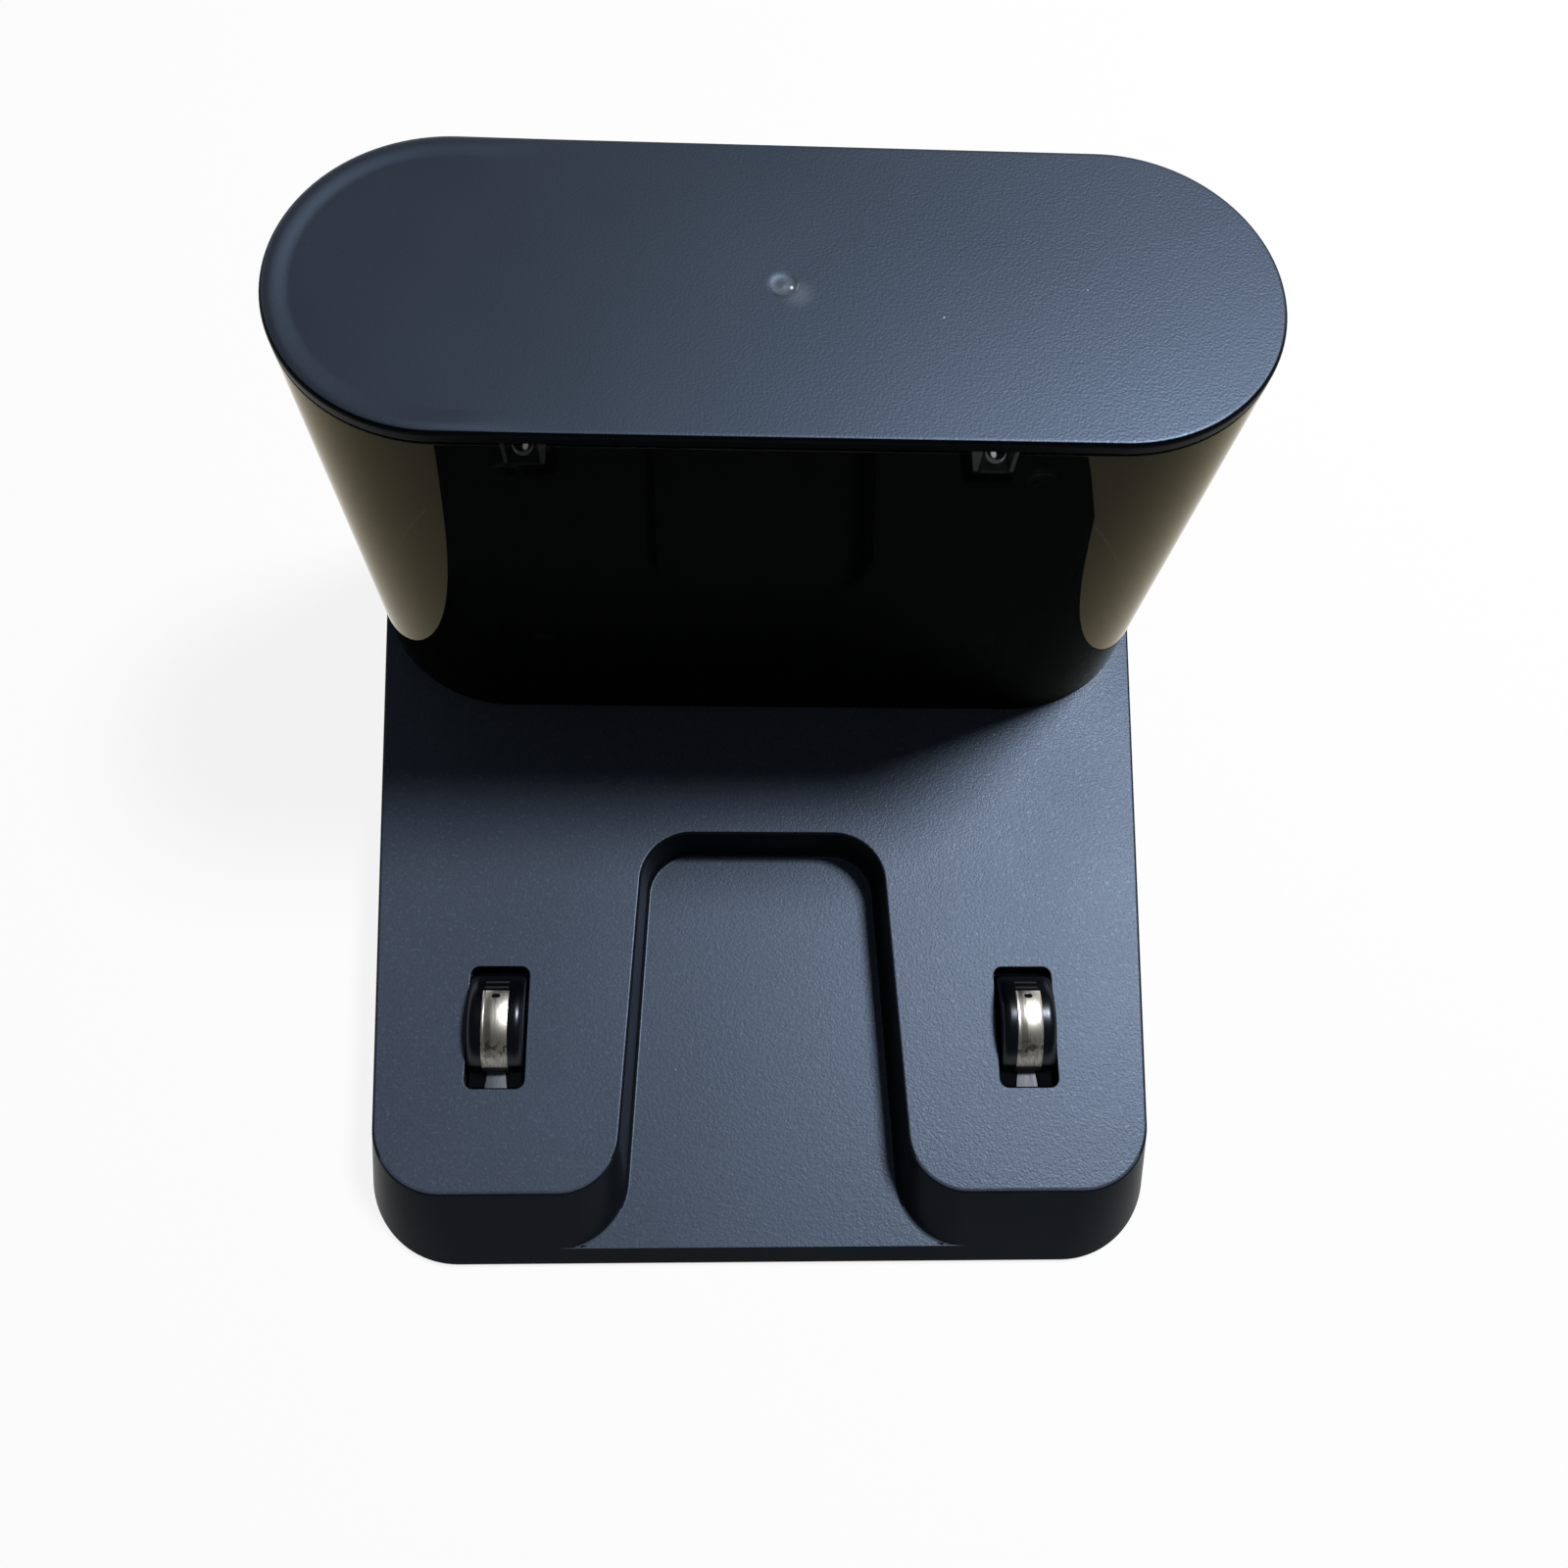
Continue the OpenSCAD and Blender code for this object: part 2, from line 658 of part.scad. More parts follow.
module lead_connector() {
    color("#e6e2d6") translate([-plug_w / 2, board_y + board_t + seat_gap, plug_z]) difference() {
        cube([plug_w, plug_d - 2 * seat_gap, plug_h]);
        translate([plug_w / 4, plug_d / 2 - lead_r * 2, plug_h - emitter_wall])
            cube([plug_w / 2, lead_r * 4, plug_h]);
    }
}

// Infrared emitters: a shaded holder with a round diode in it
module emitter_holder() {
    color("#3a3d42") translate([emitter_pitch / 2 - emitter_w / 2, board_y - seat_gap - emitter_d,
        emitter_top_z - emitter_h]) difference() {
        cube([emitter_w, emitter_d, emitter_h]);
        translate([emitter_wall, -cut_over, emitter_h / 2])
            cube([emitter_w - 2 * emitter_wall, emitter_d - emitter_wall + cut_over, emitter_h]);
        translate([emitter_w / 2, -cut_over, emitter_h / 2]) rotate([-90, 0, 0])
            cylinder(r = emitter_rim_r + slip_gap, h = emitter_d - emitter_wall + cut_over);
    }
}
module emitter_holder_right() translate([-emitter_shift, 0, 0]) emitter_holder();
module emitter_holder_left() translate([-emitter_shift, 0, 0]) mirror([1, 0, 0]) emitter_holder();

module emitter() {
    barrel = emitter_d - emitter_wall - emitter_led_r - seat_gap;
    color("#c9c3d6") translate([emitter_pitch / 2, board_y - 2 * seat_gap - emitter_wall,
        emitter_top_z - emitter_h / 2]) rotate([90, 0, 0]) rotate_extrude() {
        square([emitter_rim_r, emitter_rim_t]);
        square([emitter_led_r, barrel]);
        intersection() {
            translate([0, barrel]) circle(emitter_led_r);
            translate([0, barrel]) square(emitter_led_r);
        }
    }
}
module emitter_right() translate([-emitter_shift, 0, 0]) emitter();
module emitter_left() translate([-emitter_shift, 0, 0]) mirror([1, 0, 0]) emitter();

// Inlet socket behind the window in the back wall, with its centre pin
module dc_jack() {
    color("#17181b") difference() {
        translate([-jack_w / 2, jack_face_y - seat_gap - jack_l, jack_z - jack_h / 2])
            cube([jack_w, jack_l, jack_h]);
        translate([0, jack_face_y - seat_gap - jack_bore_l, jack_z]) rotate([-90, 0, 0])
            cylinder(r = jack_bore_r, h = jack_bore_l + cut_over);
    }
}

module jack_pin() {
    back = jack_face_y - seat_gap - jack_bore_l + seat_gap;
    color("#d8d4c6") translate([0, back, jack_z]) rotate([-90, 0, 0]) {
        cylinder(r = jack_pin_r, h = jack_pin_l - jack_pin_r);
        translate([0, 0, jack_pin_l - jack_pin_r]) sphere(jack_pin_r);
    }
}

module power_lead() {
    start_y = jack_face_y - jack_l - seat_gap - fit_gap;
    run_z = (cover_z + ballast_t + 2 * seat_gap + ceiling_z) / 2;
    color("#1a1a1c") tube(smooth([
        [0, start_y, jack_z],
        [0, start_y - 6 * lead_r, jack_z],
        [0, mix(start_y, way_y, 0.5), run_z],
        [0, way_y + 7 * lead_r, run_z],
        [0, way_y + 2 * lead_r, run_z + 2 * lead_r],
        [0, way_y, plate_z + 3 * lead_r],
        [0, way_y, plug_z - 8 * lead_r],
        [0, way_y, plug_z - seat_gap]
    ]), lead_r, lead_sides, [1, 0, 0]);
}

// Side view of the shoe, grown outwards by o: an arch on a lower block
module shoe_profile(o) {
    intersection() {
        translate([shoe_shift, arch_z]) circle(arch_r + o, $fn = 96);
        translate([shoe_front - o, block_z]) square([shoe_l + 2 * o, shoe_rise - block_z + 2 * o]);
    }
    translate([-block_l / 2 - o, block_z - o]) square([block_l + 2 * o, shoulder_z - block_z + 2 * o]);
}

// Side view of the strip's path: from behind the crown, over it, down to the
// shoulder, round the front of the block and back under it
module strip_path(out, in) {
    tall = shoe_rise + cut_over;
    difference() {
        intersection() {
            shoe_profile(out);
            union() {
                translate([-slot_l, mix(block_z, shoulder_z, 0.5)])
                    square([slot_l + shoe_shift + shoe_l / 2 * strip_rear_share, tall - block_z]);
                translate([-slot_l, block_z - cut_over])
                    square([slot_l + block_l / 2 * strip_tail_share, tall]);
            }
        }
        shoe_profile(-in);
        translate([shoe_shift + shoe_l / 2 * strip_rear_share - cut_over / 2, block_z])
            square([slot_l, -block_z]);
        translate([shoe_front + in, block_z + in])
            square([-shoe_front + block_l * strip_tail_share, shoulder_z - block_z + in]);
    }
}

module across(w) {
    rotate([90, 0, 90]) translate([0, 0, -w / 2]) linear_extrude(w) children();
}

module at_contact() {
    translate([contact_x, contact_y, plate_z]) children();
}

module contact_carrier() {
    half = carrier_w / 2;
    color("#15171a") at_contact() difference() {
        union() {
            intersection() {
                translate([0, shoe_shift, arch_z]) rotate([0, 90, 0]) rotate_extrude($fn = 96) union() {
                    translate([0, -half]) square([arch_r - cheek_round, carrier_w]);
                    translate([0, cheek_round - half]) square([arch_r, carrier_w - 2 * cheek_round]);
                    for (s = [-1, 1]) translate([arch_r - cheek_round, s * (half - cheek_round)])
                        circle(cheek_round, $fn = 32);
                }
                translate([-half, shoe_front, shoulder_z - slip_gap])
                    cube([carrier_w, shoe_l, shoe_rise - shoulder_z + cut_over]);
            }
            translate([-half, -block_l / 2, block_z]) cube([carrier_w, block_l, shoulder_z - block_z]);
            translate([-wing_w / 2, -wing_l / 2, -base_wall - fit_gap - wing_t])
                cube([wing_w, wing_l, wing_t]);
        }
        across(strip_w + 2 * strip_gap) strip_path(cut_over, strip_t - strip_proud + strip_gap);
    }
}
module contact_carrier_right() contact_carrier();
module contact_carrier_left() mirror([1, 0, 0]) contact_carrier();

// What is cut from the strip's tail, on both sides, to leave a tapered tab
module tab_sides() {
    rear = shoe_front - strip_proud - slip_gap;
    front = -block_l / 2 - cut_over;
    for (s = [-1, 1]) polygon([[s * tab_rear_w / 2, rear], [s * strip_w, rear],
        [s * strip_w, front], [s * tab_front_w / 2, front]]);
}

module contact_strip() {
    color("#d9d6cc") at_contact() difference() {
        across(strip_w) strip_path(strip_proud, strip_t - strip_proud);
        translate([0, shoe_shift + shoe_l / 2 * strip_hole_share, 0])
            linear_extrude(shoe_rise + cut_over) stadium(strip_hole_w, strip_hole_l);
        translate([0, 0, block_z - cut_over])
            linear_extrude(shoulder_z - block_z + 2 * cut_over) tab_sides();
    }
}
module contact_strip_right() contact_strip();
module contact_strip_left() mirror([1, 0, 0]) contact_strip();

// Conical spring, whose turns nest when it is pressed
module contact_spring() {
    low = spring_z + spring_wire / 2;
    high = spring_top_z - spring_wire / 2;
    count = spring_turns * spring_steps;
    color("#b9bcc0") translate([contact_x, contact_y, 0]) tube([for (i = [0 : count])
        let (s = i / count, r = mix(spring_foot_r, spring_head_r, s), a = 360 * i / spring_steps)
        [r * cos(a), r * sin(a), mix(low, high, s)]], spring_wire / 2, spring_sides, [0, 0, 1]);
}
module contact_spring_right() contact_spring();
module contact_spring_left() mirror([1, 0, 0]) contact_spring();

// Plate under each spring, with a tail for its lead
module contact_terminal() {
    color("#c9a35a") translate([contact_x, contact_y, terminal_z]) linear_extrude(terminal_t) {
        square([terminal_w, terminal_l], center = true);
        translate([-terminal_tail_w / 2, 0]) square([terminal_tail_w, terminal_l / 2 + terminal_tail_l]);
    }
}
module contact_terminal_right() contact_terminal();
module contact_terminal_left() mirror([1, 0, 0]) contact_terminal();

// Lead from a terminal's tail, over the ballast and up through the cable way
module contact_lead(x) {
    tail_y = contact_y + terminal_l / 2 + terminal_tail_l;
    start_z = terminal_z + terminal_t + lead_r + seat_gap;
    inner_x = ballast_w / 2 - ballast_inset - boss_r - 5 * lead_r;
    run_z = (cover_z + ballast_t + 2 * seat_gap + ceiling_z) / 2;
    color(x > 0 ? "#a02a22" : "#1a1a1c") tube(smooth([
        [contact_x, tail_y - 3 * lead_r, start_z],
        [contact_x, tail_y + 5 * lead_r, start_z],
        [contact_x, mix(tail_y, ballast_front_y, 0.5), mix(start_z, run_z, 0.5)],
        [0.92 * contact_x, ballast_front_y - 4 * lead_r, run_z],
        [inner_x, mix(ballast_front_y, way_y, 0.3), run_z],
        [mix(inner_x, lead_x, 0.6), mix(ballast_front_y, way_y, 0.8), run_z],
        [mix(inner_x, lead_x, 0.88), way_y, run_z + 2 * lead_r],
        [lead_x, way_y, plate_z + 3 * lead_r],
        [lead_x, way_y, plug_z - seat_gap]
    ]), lead_r, lead_sides, [1, -1, 0]);
}
module contact_lead_right() contact_lead(1);
module contact_lead_left() mirror([1, 0, 0]) contact_lead(-1);

base_shell();
base_cover();
cover_screws();
ballast_plate();
foot_front_left();
foot_front_right();
foot_rear_left();
foot_rear_right();
tower_core();
tower_screws();
tower_sleeve();
tower_cap();
main_board();
board_screws();
capacitor();
driver_chip();
lead_connector();
emitter_holder_left();
emitter_holder_right();
emitter_left();
emitter_right();
dc_jack();
jack_pin();
power_lead();
contact_carrier_left();
contact_carrier_right();
contact_strip_left();
contact_strip_right();
contact_spring_left();
contact_spring_right();
contact_terminal_left();
contact_terminal_right();
contact_lead_left();
contact_lead_right();
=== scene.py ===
"""Charging dock of a robot vacuum cleaner: its looks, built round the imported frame."""
import json
from math import acos, atan2, ceil, cos, hypot, pi, radians, sin, tau

import bmesh
import bpy
from bpy.props import FloatProperty, FloatVectorProperty, IntProperty, PointerProperty
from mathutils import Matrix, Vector


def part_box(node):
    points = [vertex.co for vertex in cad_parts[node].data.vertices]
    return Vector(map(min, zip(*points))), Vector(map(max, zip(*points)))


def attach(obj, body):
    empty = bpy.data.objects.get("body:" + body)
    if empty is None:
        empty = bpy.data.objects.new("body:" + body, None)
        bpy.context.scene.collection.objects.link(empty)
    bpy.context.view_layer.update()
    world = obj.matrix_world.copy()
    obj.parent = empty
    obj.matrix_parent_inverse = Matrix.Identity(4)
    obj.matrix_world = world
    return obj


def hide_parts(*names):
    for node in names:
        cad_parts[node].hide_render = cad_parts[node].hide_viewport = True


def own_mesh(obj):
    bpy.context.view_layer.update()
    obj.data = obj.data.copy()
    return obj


bl_info = {
    "name": "Charging Dock",
    "version": (1, 0, 0),
    "blender": (4, 5, 0),
    "location": "3D View > Sidebar > Dock",
    "description": "Builds the visible pieces of a robot vacuum charging dock",
    "category": "Object",
}

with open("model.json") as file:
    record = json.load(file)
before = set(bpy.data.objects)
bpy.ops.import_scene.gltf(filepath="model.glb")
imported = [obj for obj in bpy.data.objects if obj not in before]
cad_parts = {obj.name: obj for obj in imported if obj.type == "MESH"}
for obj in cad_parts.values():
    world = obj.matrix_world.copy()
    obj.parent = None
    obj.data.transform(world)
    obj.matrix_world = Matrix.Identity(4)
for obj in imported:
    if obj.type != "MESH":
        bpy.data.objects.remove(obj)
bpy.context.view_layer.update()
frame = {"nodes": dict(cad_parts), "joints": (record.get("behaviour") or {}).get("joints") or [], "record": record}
MM = 0.001


def span(node):
    """Lowest and highest corner of a CAD node, in millimetres."""
    low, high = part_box(node)
    return low / MM, high / MM


# Levels and outline that the pieces share, in millimetres, from the frame
BOTTOM_Z = span("base_shell")[0].z
TOE_Y = span("base_shell")[0].y
BACK_Y = span("base_shell")[1].y
PLATE_Z = span("tower_sleeve")[0].z
SLEEVE_TOP_Z = span("tower_sleeve")[1].z
CAP_TOP_Z = span("tower_cap")[1].z
TOWER_W = span("tower_sleeve")[1].x * 2
TOWER_D = span("tower_sleeve")[1].y - span("tower_sleeve")[0].y
TOWER_Y = BACK_Y - TOWER_D / 2
END_X = (TOWER_W - TOWER_D) / 2
COVER_Z = 2.4
SHOE_X = span("contact_carrier_right")[0].x / 2 + span("contact_carrier_right")[1].x / 2
SHOE_Y = span("contact_carrier_right")[0].y / 2 + span("contact_carrier_right")[1].y / 2

# Base moulding
FLOOR_Z = 4.0
WALL = 2.2
TOE_W = 137.6
TOE_FLARE = 1.8
TOE_RUN = 11.0
TOE_R_TOP, TOE_R_FOOT = 12.5, 16.5
CHANNEL_END_Y = -1.05
CHANNEL_BACK_W, CHANNEL_MOUTH_W = 45.8, 51.0
CHANNEL_DRAFT = 1.0
CHANNEL_R = 9.5
TIP_R_TOP, TIP_R_FOOT = 10.5, 12.0
SLOT_W, SLOT_L, SLOT_R = 10.5, 22.0, 1.5
INLET_W, INLET_H, INLET_R = 10.4, 8.0, 1.2
INLET_Z = 7.1

# Contact shoes, from the plate's top at the slot's middle
SHOE_RISE, SHOE_L, SHOE_SHIFT = 4.5, 17.2, 1.1
SHOE_HALF = 4.95
ARCH_R = (SHOE_L ** 2 / 4 + SHOE_RISE ** 2) / (2 * SHOE_RISE)
BLOCK_L, BLOCK_TOP, BLOCK_BOTTOM = 20.8, -2.6, -4.6
WING_W, WING_L, WING_R, WING_TOP, WING_BOTTOM = 13.5, 14.0, 0.4, -2.5, -4.1
STRIP_W, STRIP_GAP, STRIP_BED = 4.6, 0.04, 0.29
STRIP_REAR, STRIP_TAIL = 5.85, 3.14

# Tower
SLEEVE_WALL = 2.0
CAP_EDGE = 2.4
SKIRT_INSET, SKIRT_WALL, SKIRT_H = 2.3, 1.4, 3.3
GATE_X, GATE_Y = 0.2, 51.8
GATE_MARK = [(2.6, 0.0), (1.9, 0.0), (1.6, -0.10), (0.9, -0.12), (0.4, -0.04), (0.1, -0.02)]
SEAM = 0.2

# Emitters and feet
LENS_R, FLANGE_T, FLANGE_EDGE = 1.5, 0.8, 0.1
HOOD_WALL, HOOD_ROUND = 0.8, 0.12
SOLE = [(0.3, 0.25), (0.9, 0.25), (1.1, 0.0), (1.8, 0.0), (2.0, 0.25), (2.6, 0.25), (2.8, 0.0), (3.6, 0.0)]
SOLE_ROUND = 0.5

# Marks in the finishes: dust as (x, y, radius), the scratch, the ridge and the grain's reach along X
CAP_SPECKS = ((23.6, 46.6, 0.16), (45.1, 52.1, 0.13))
PLATE_SPECKS = ((-67.5, -67.5, 0.28), (-16.0, -44.0, 0.12), (52.0, 8.0, 0.11))
DUST = (0.55, 0.57, 0.60)
SCRATCH_X, SCRATCH_Y = -57.9, -71.9
RIDGE_INSET, RIDGE_H = 1.7, 0.22
GRAIN_REACH = 60.0

# Faces whose normal has a larger Z than this are level
LEVEL = 0.9

# Stage: the floor's curve in millimetres, the rest in metres and degrees
FLOOR_CURVE, FLOOR_WHITE = 500.0, 0.88
ROOM_COLOUR = (0.97, 0.99, 1.0, 1)
LAMP_AIM, LAMP_WAY, LAMP_FAR, LAMP_SIZE = (0, 0, 0.014), (0.40, 0.275, 1.0), 1.15, 0.24
CAMERA_AT, CAMERA_TURN = (-0.00938, -0.09378, 0.28230), (20.988, -2.664, -0.605)

SIDES = (("left", -1), ("right", 1))


class BaseSettings(bpy.types.PropertyGroup):
    """Base moulding with its plate, arms and caster channel."""
    edge_round: FloatProperty(name="Edge round", description="Rounding of the plate's top edge",
                              default=0.0006, min=0.0001, max=0.001, unit="LENGTH")
    floor_fillet: FloatProperty(name="Floor fillet", description="Fillet between the channel's floor and walls",
                                default=0.0006, min=0.0001, max=0.0015, unit="LENGTH")
    slot_round: FloatProperty(name="Slot round", description="Rounding of the edges of slots and window",
                              default=0.0003, min=0.0001, max=0.0006, unit="LENGTH")
    arc_step: FloatProperty(name="Arc step", description="Largest turn between two points of a corner",
                            default=radians(4), min=radians(1), max=radians(15), subtype="ANGLE")
    grain: FloatProperty(name="Grain", description="Size of the spark-eroded grain",
                         default=0.00042, min=0.0001, max=0.002, unit="LENGTH")
    colour: FloatVectorProperty(name="Colour", description="Colour of the base moulding",
                                default=(0.040, 0.051, 0.076), size=3, min=0, max=1, subtype="COLOR")


class TowerSettings(bpy.types.PropertyGroup):
    """Smoked sleeve and its cap."""
    cap_round: FloatProperty(name="Cap round", description="Rounding of the cap's top edge",
                             default=0.0008, min=0.0002, max=0.0012, unit="LENGTH")
    border_rise: FloatProperty(name="Border rise", description="How far the cap's border rises to its rim",
                               default=0.00022, min=0, max=0.001, unit="LENGTH")
    border_run: FloatProperty(name="Border run", description="Width of the cap's rising border",
                              default=0.0034, min=0.001, max=0.010, unit="LENGTH")
    sleeve_round: FloatProperty(name="Sleeve round", description="Rounding of the sleeve's rims",
                                default=0.00025, min=0.0001, max=0.0005, unit="LENGTH")
    end_steps: IntProperty(name="End steps", description="Faces round each end of the tower",
                           default=60, min=12, max=120)
    cap_colour: FloatVectorProperty(name="Cap colour", description="Colour of the cap",
                                    default=(0.009, 0.011, 0.016), size=3, min=0, max=1, subtype="COLOR")
    smoke: FloatProperty(name="Smoke", description="Share of light that one face of the sleeve stops",
                         default=0.86, min=0, max=1, subtype="FACTOR")
    # Tan tint of the sleeve's gloss: a painted reflection of a warm room round its ends.
    painted_reflection_tint: FloatVectorProperty(name="Smoke tint", description="Colour of the sleeve's gloss at its round ends",
                                    default=(0.27, 0.245, 0.16), size=3, min=0, max=1, subtype="COLOR")


class ShoeSettings(bpy.types.PropertyGroup):
    """Sprung contact shoes and their springs."""
    wire: FloatProperty(name="Wire", description="Diameter of the spring's wire",
                        default=0.0006, min=0.0003, max=0.001, unit="LENGTH")
    turns: IntProperty(name="Turns", description="Turns of each spring", default=4, min=2, max=6)
    cheek_w: FloatProperty(name="Cheek width", description="Width of the rounding along the shoe's cheeks",
                           default=0.0017, min=0.0003, max=0.0022, unit="LENGTH")
    cheek_h: FloatProperty(name="Cheek height", description="Height of the rounding along the shoe's cheeks",
                           default=0.0010, min=0.0003, max=0.0022, unit="LENGTH")
    crown: FloatProperty(name="Crown", description="How far the strip's edges lie below its middle",
                         default=0.00013, min=0, max=0.0003, unit="LENGTH")
    strip_round: FloatProperty(name="Strip round", description="Rounding of the edges of the plated strips",
                               default=0.00012, min=0.00002, max=0.0002, unit="LENGTH")
    # Scales the rubbing and spots, and the painted shade on the strips too.
    scuffs_and_shade: FloatProperty(name="Scuffs", description="How far the strips are worn",
                          default=0.85, min=0, max=1, subtype="FACTOR")
    nickel: FloatVectorProperty(name="Nickel", description="Colour of the plated strips",
                                default=(0.80, 0.78, 0.72), size=3, min=0, max=1, subtype="COLOR")


class StageSettings(bpy.types.PropertyGroup):
    """Floor, lamp, room light and camera."""
    key_power: FloatProperty(name="Key power", description="Power of the key lamp",
                             default=13.0, min=0, max=100, unit="POWER")
    room_light: FloatProperty(name="Room light", description="Strength of the room's even light",
                              default=0.10, min=0, max=2)
    floor_radius: FloatProperty(name="Floor radius", description="Radius of the pale floor",
                                default=2.4, min=1, max=10, unit="LENGTH")
    floor_colour: FloatVectorProperty(name="Floor colour", description="Colour of the floor",
                                      default=(0.86, 0.86, 0.86), size=3, min=0, max=1, subtype="COLOR")
    lens: FloatProperty(name="Lens", description="Focal length of the camera, in millimetres",
                        default=34.23, min=10, max=200)


# Shader nodes

class Value:
    """A socket in arithmetic: each operator adds its Math node."""

    def __init__(self, finish, socket):
        self.finish, self.socket = finish, socket

    def math(self, operation, *others):
        return self.finish.node("ShaderNodeMath", dict(enumerate((self, *others))), operation=operation)

    def __add__(self, other): return self.math("ADD", other)
    def __sub__(self, other): return self.math("SUBTRACT", other)
    def __rsub__(self, other): return self.finish.node("ShaderNodeMath", {0: other, 1: self}, operation="SUBTRACT")
    def __mul__(self, other): return self.math("MULTIPLY", other)
    def __pow__(self, other): return self.math("POWER", other)
    def __abs__(self): return self.math("ABSOLUTE")
    __radd__, __rmul__ = __add__, __mul__
    def clamp(self): return self.finish.node("ShaderNodeClamp", {"Value": self})


class Finish:
    """One material: a Principled shader and the nodes that vary it."""

    def __init__(self, name, **sockets):
        self.material = bpy.data.materials.new(f"{name}_finish")
        self.material.use_nodes = True
        self.tree = self.material.node_tree
        self.shader = self.tree.nodes["Principled BSDF"]
        self.coordinates = None
        self.set(**sockets)

    def set(self, **sockets):
        """Feeds the shader's sockets. Their names have _ for a space."""
        for socket, value in sockets.items():
            self.feed(self.shader.inputs[socket.replace("_", " ")], value)

    def feed(self, socket, value):
        """Gives a socket a link, or a value, which gets an alpha of 1 where a colour needs one."""
        if isinstance(value, Value):
            self.tree.links.new(value.socket, socket)
        elif hasattr(socket.default_value, "__len__") and len(value) < len(socket.default_value):
            socket.default_value = (*value, 1)
        else:
            socket.default_value = value

    def node(self, kind, inputs=None, output=0, **settings):
        """Adds a node: its settings come first, then the values or links of its sockets."""
        made = self.tree.nodes.new(kind)
        for key, value in settings.items():
            setattr(made, key, value)
        for key, value in (inputs or {}).items():
            self.feed(made.inputs[key], value)
        return Value(self, made.outputs[output])

    def place(self):
        """Place of the point in the dock's frame."""
        if not self.coordinates:
            self.coordinates = self.node("ShaderNodeTexCoord", output="Object")
        return self.coordinates

    def axes(self):
        """X, Y and Z of the point, in millimetres."""
        made = self.node("ShaderNodeSeparateXYZ", {0: self.place()}).socket.node
        return [Value(self, output) * (1 / MM) for output in made.outputs]

    def noise(self, size, detail=2.0, stretch=(1, 1, 1), **inputs):
        """Noise whose lumps are about size metres across."""
        mapped = self.node("ShaderNodeMapping", {"Vector": self.place(), "Scale": stretch})
        return self.node("ShaderNodeTexNoise", {"Vector": mapped, "Scale": 1 / size, "Detail": detail, **inputs})

    def band(self, value, low, high, start=0.0, end=1.0):
        """Smooth step from start at low to end at high."""
        return self.node("ShaderNodeMapRange", {"Value": value, "From Min": low, "From Max": high,
                         "To Min": start, "To Max": end}, interpolation_type="SMOOTHSTEP")

    def mix(self, factor, a, b):
        """Colour between a and b. Sockets 6 and 7 and output 2 are the Mix node's colours."""
        return self.node("ShaderNodeMix", {0: factor, 6: a, 7: b}, output=2, data_type="RGBA")

    def bump(self, height, depth=MM):
        """Bump on the shader's normal. A height in millimetres keeps the depth of one."""
        self.set(Normal=self.node("ShaderNodeBump", {"Height": height, "Distance": depth, "Strength": 1.0}))

    def blend(self, factor, other):
        """Shows another shader in place of the first one by a factor."""
        blend = self.node("ShaderNodeMixShader", {0: factor, 1: Value(self, self.shader.outputs[0]), 2: other})
        self.tree.links.new(blend.socket, self.tree.nodes["Material Output"].inputs["Surface"])


def dark(colour, share):
    return tuple(c * share for c in colour)


def distance(across, along):
    return (across ** 2 + along ** 2) ** 0.5


def moulded(name, colour, relief, roughness, specular, specks, painted_sheen_tint=(0.56, 0.72, 1.0), **sockets):
    """Spark-eroded moulded plastic: fine grain, faint clouds, a few specks of dust, and light specks painted into the
    colour as glints.
    relief is the grain's height at the dock's left and right. Gives the finish, its colour, X and Y of the point and
    the height there."""
    grain = bpy.context.scene.dock_base.grain
    # The sheen's blue tint is the colour of daylight, painted into the reflection.
    finish = Finish(name, Specular_IOR_Level=specular, Specular_Tint=painted_sheen_tint, **sockets)
    fine = finish.noise(grain, Roughness=0.5)
    cloud = finish.noise(0.035)
    # Glint: light specks painted into the colour as sparkle, which also lower the roughness a little.
    painted_glint = finish.band(finish.noise(grain * 1.6, detail=1.0), 0.58, 0.76)
    shade = (fine - 0.5) * 0.6 + (cloud - 0.5) * 0.30 + painted_glint * 0.7
    colours = finish.mix((shade + 0.5).clamp(), dark(colour, 0.55), dark(colour, 1.45))
    x, y, _ = finish.axes()
    for speck_x, speck_y, size in specks:
        away = distance(x - speck_x, y - speck_y)
        colours = finish.mix(finish.band(away, size, size * 0.5), colours, DUST)
    finish.set(Roughness=roughness + (cloud - 0.5) * 0.10 - painted_glint * 0.04)
    return finish, colours, x, y, fine * finish.band(x, -GRAIN_REACH, GRAIN_REACH, *relief)


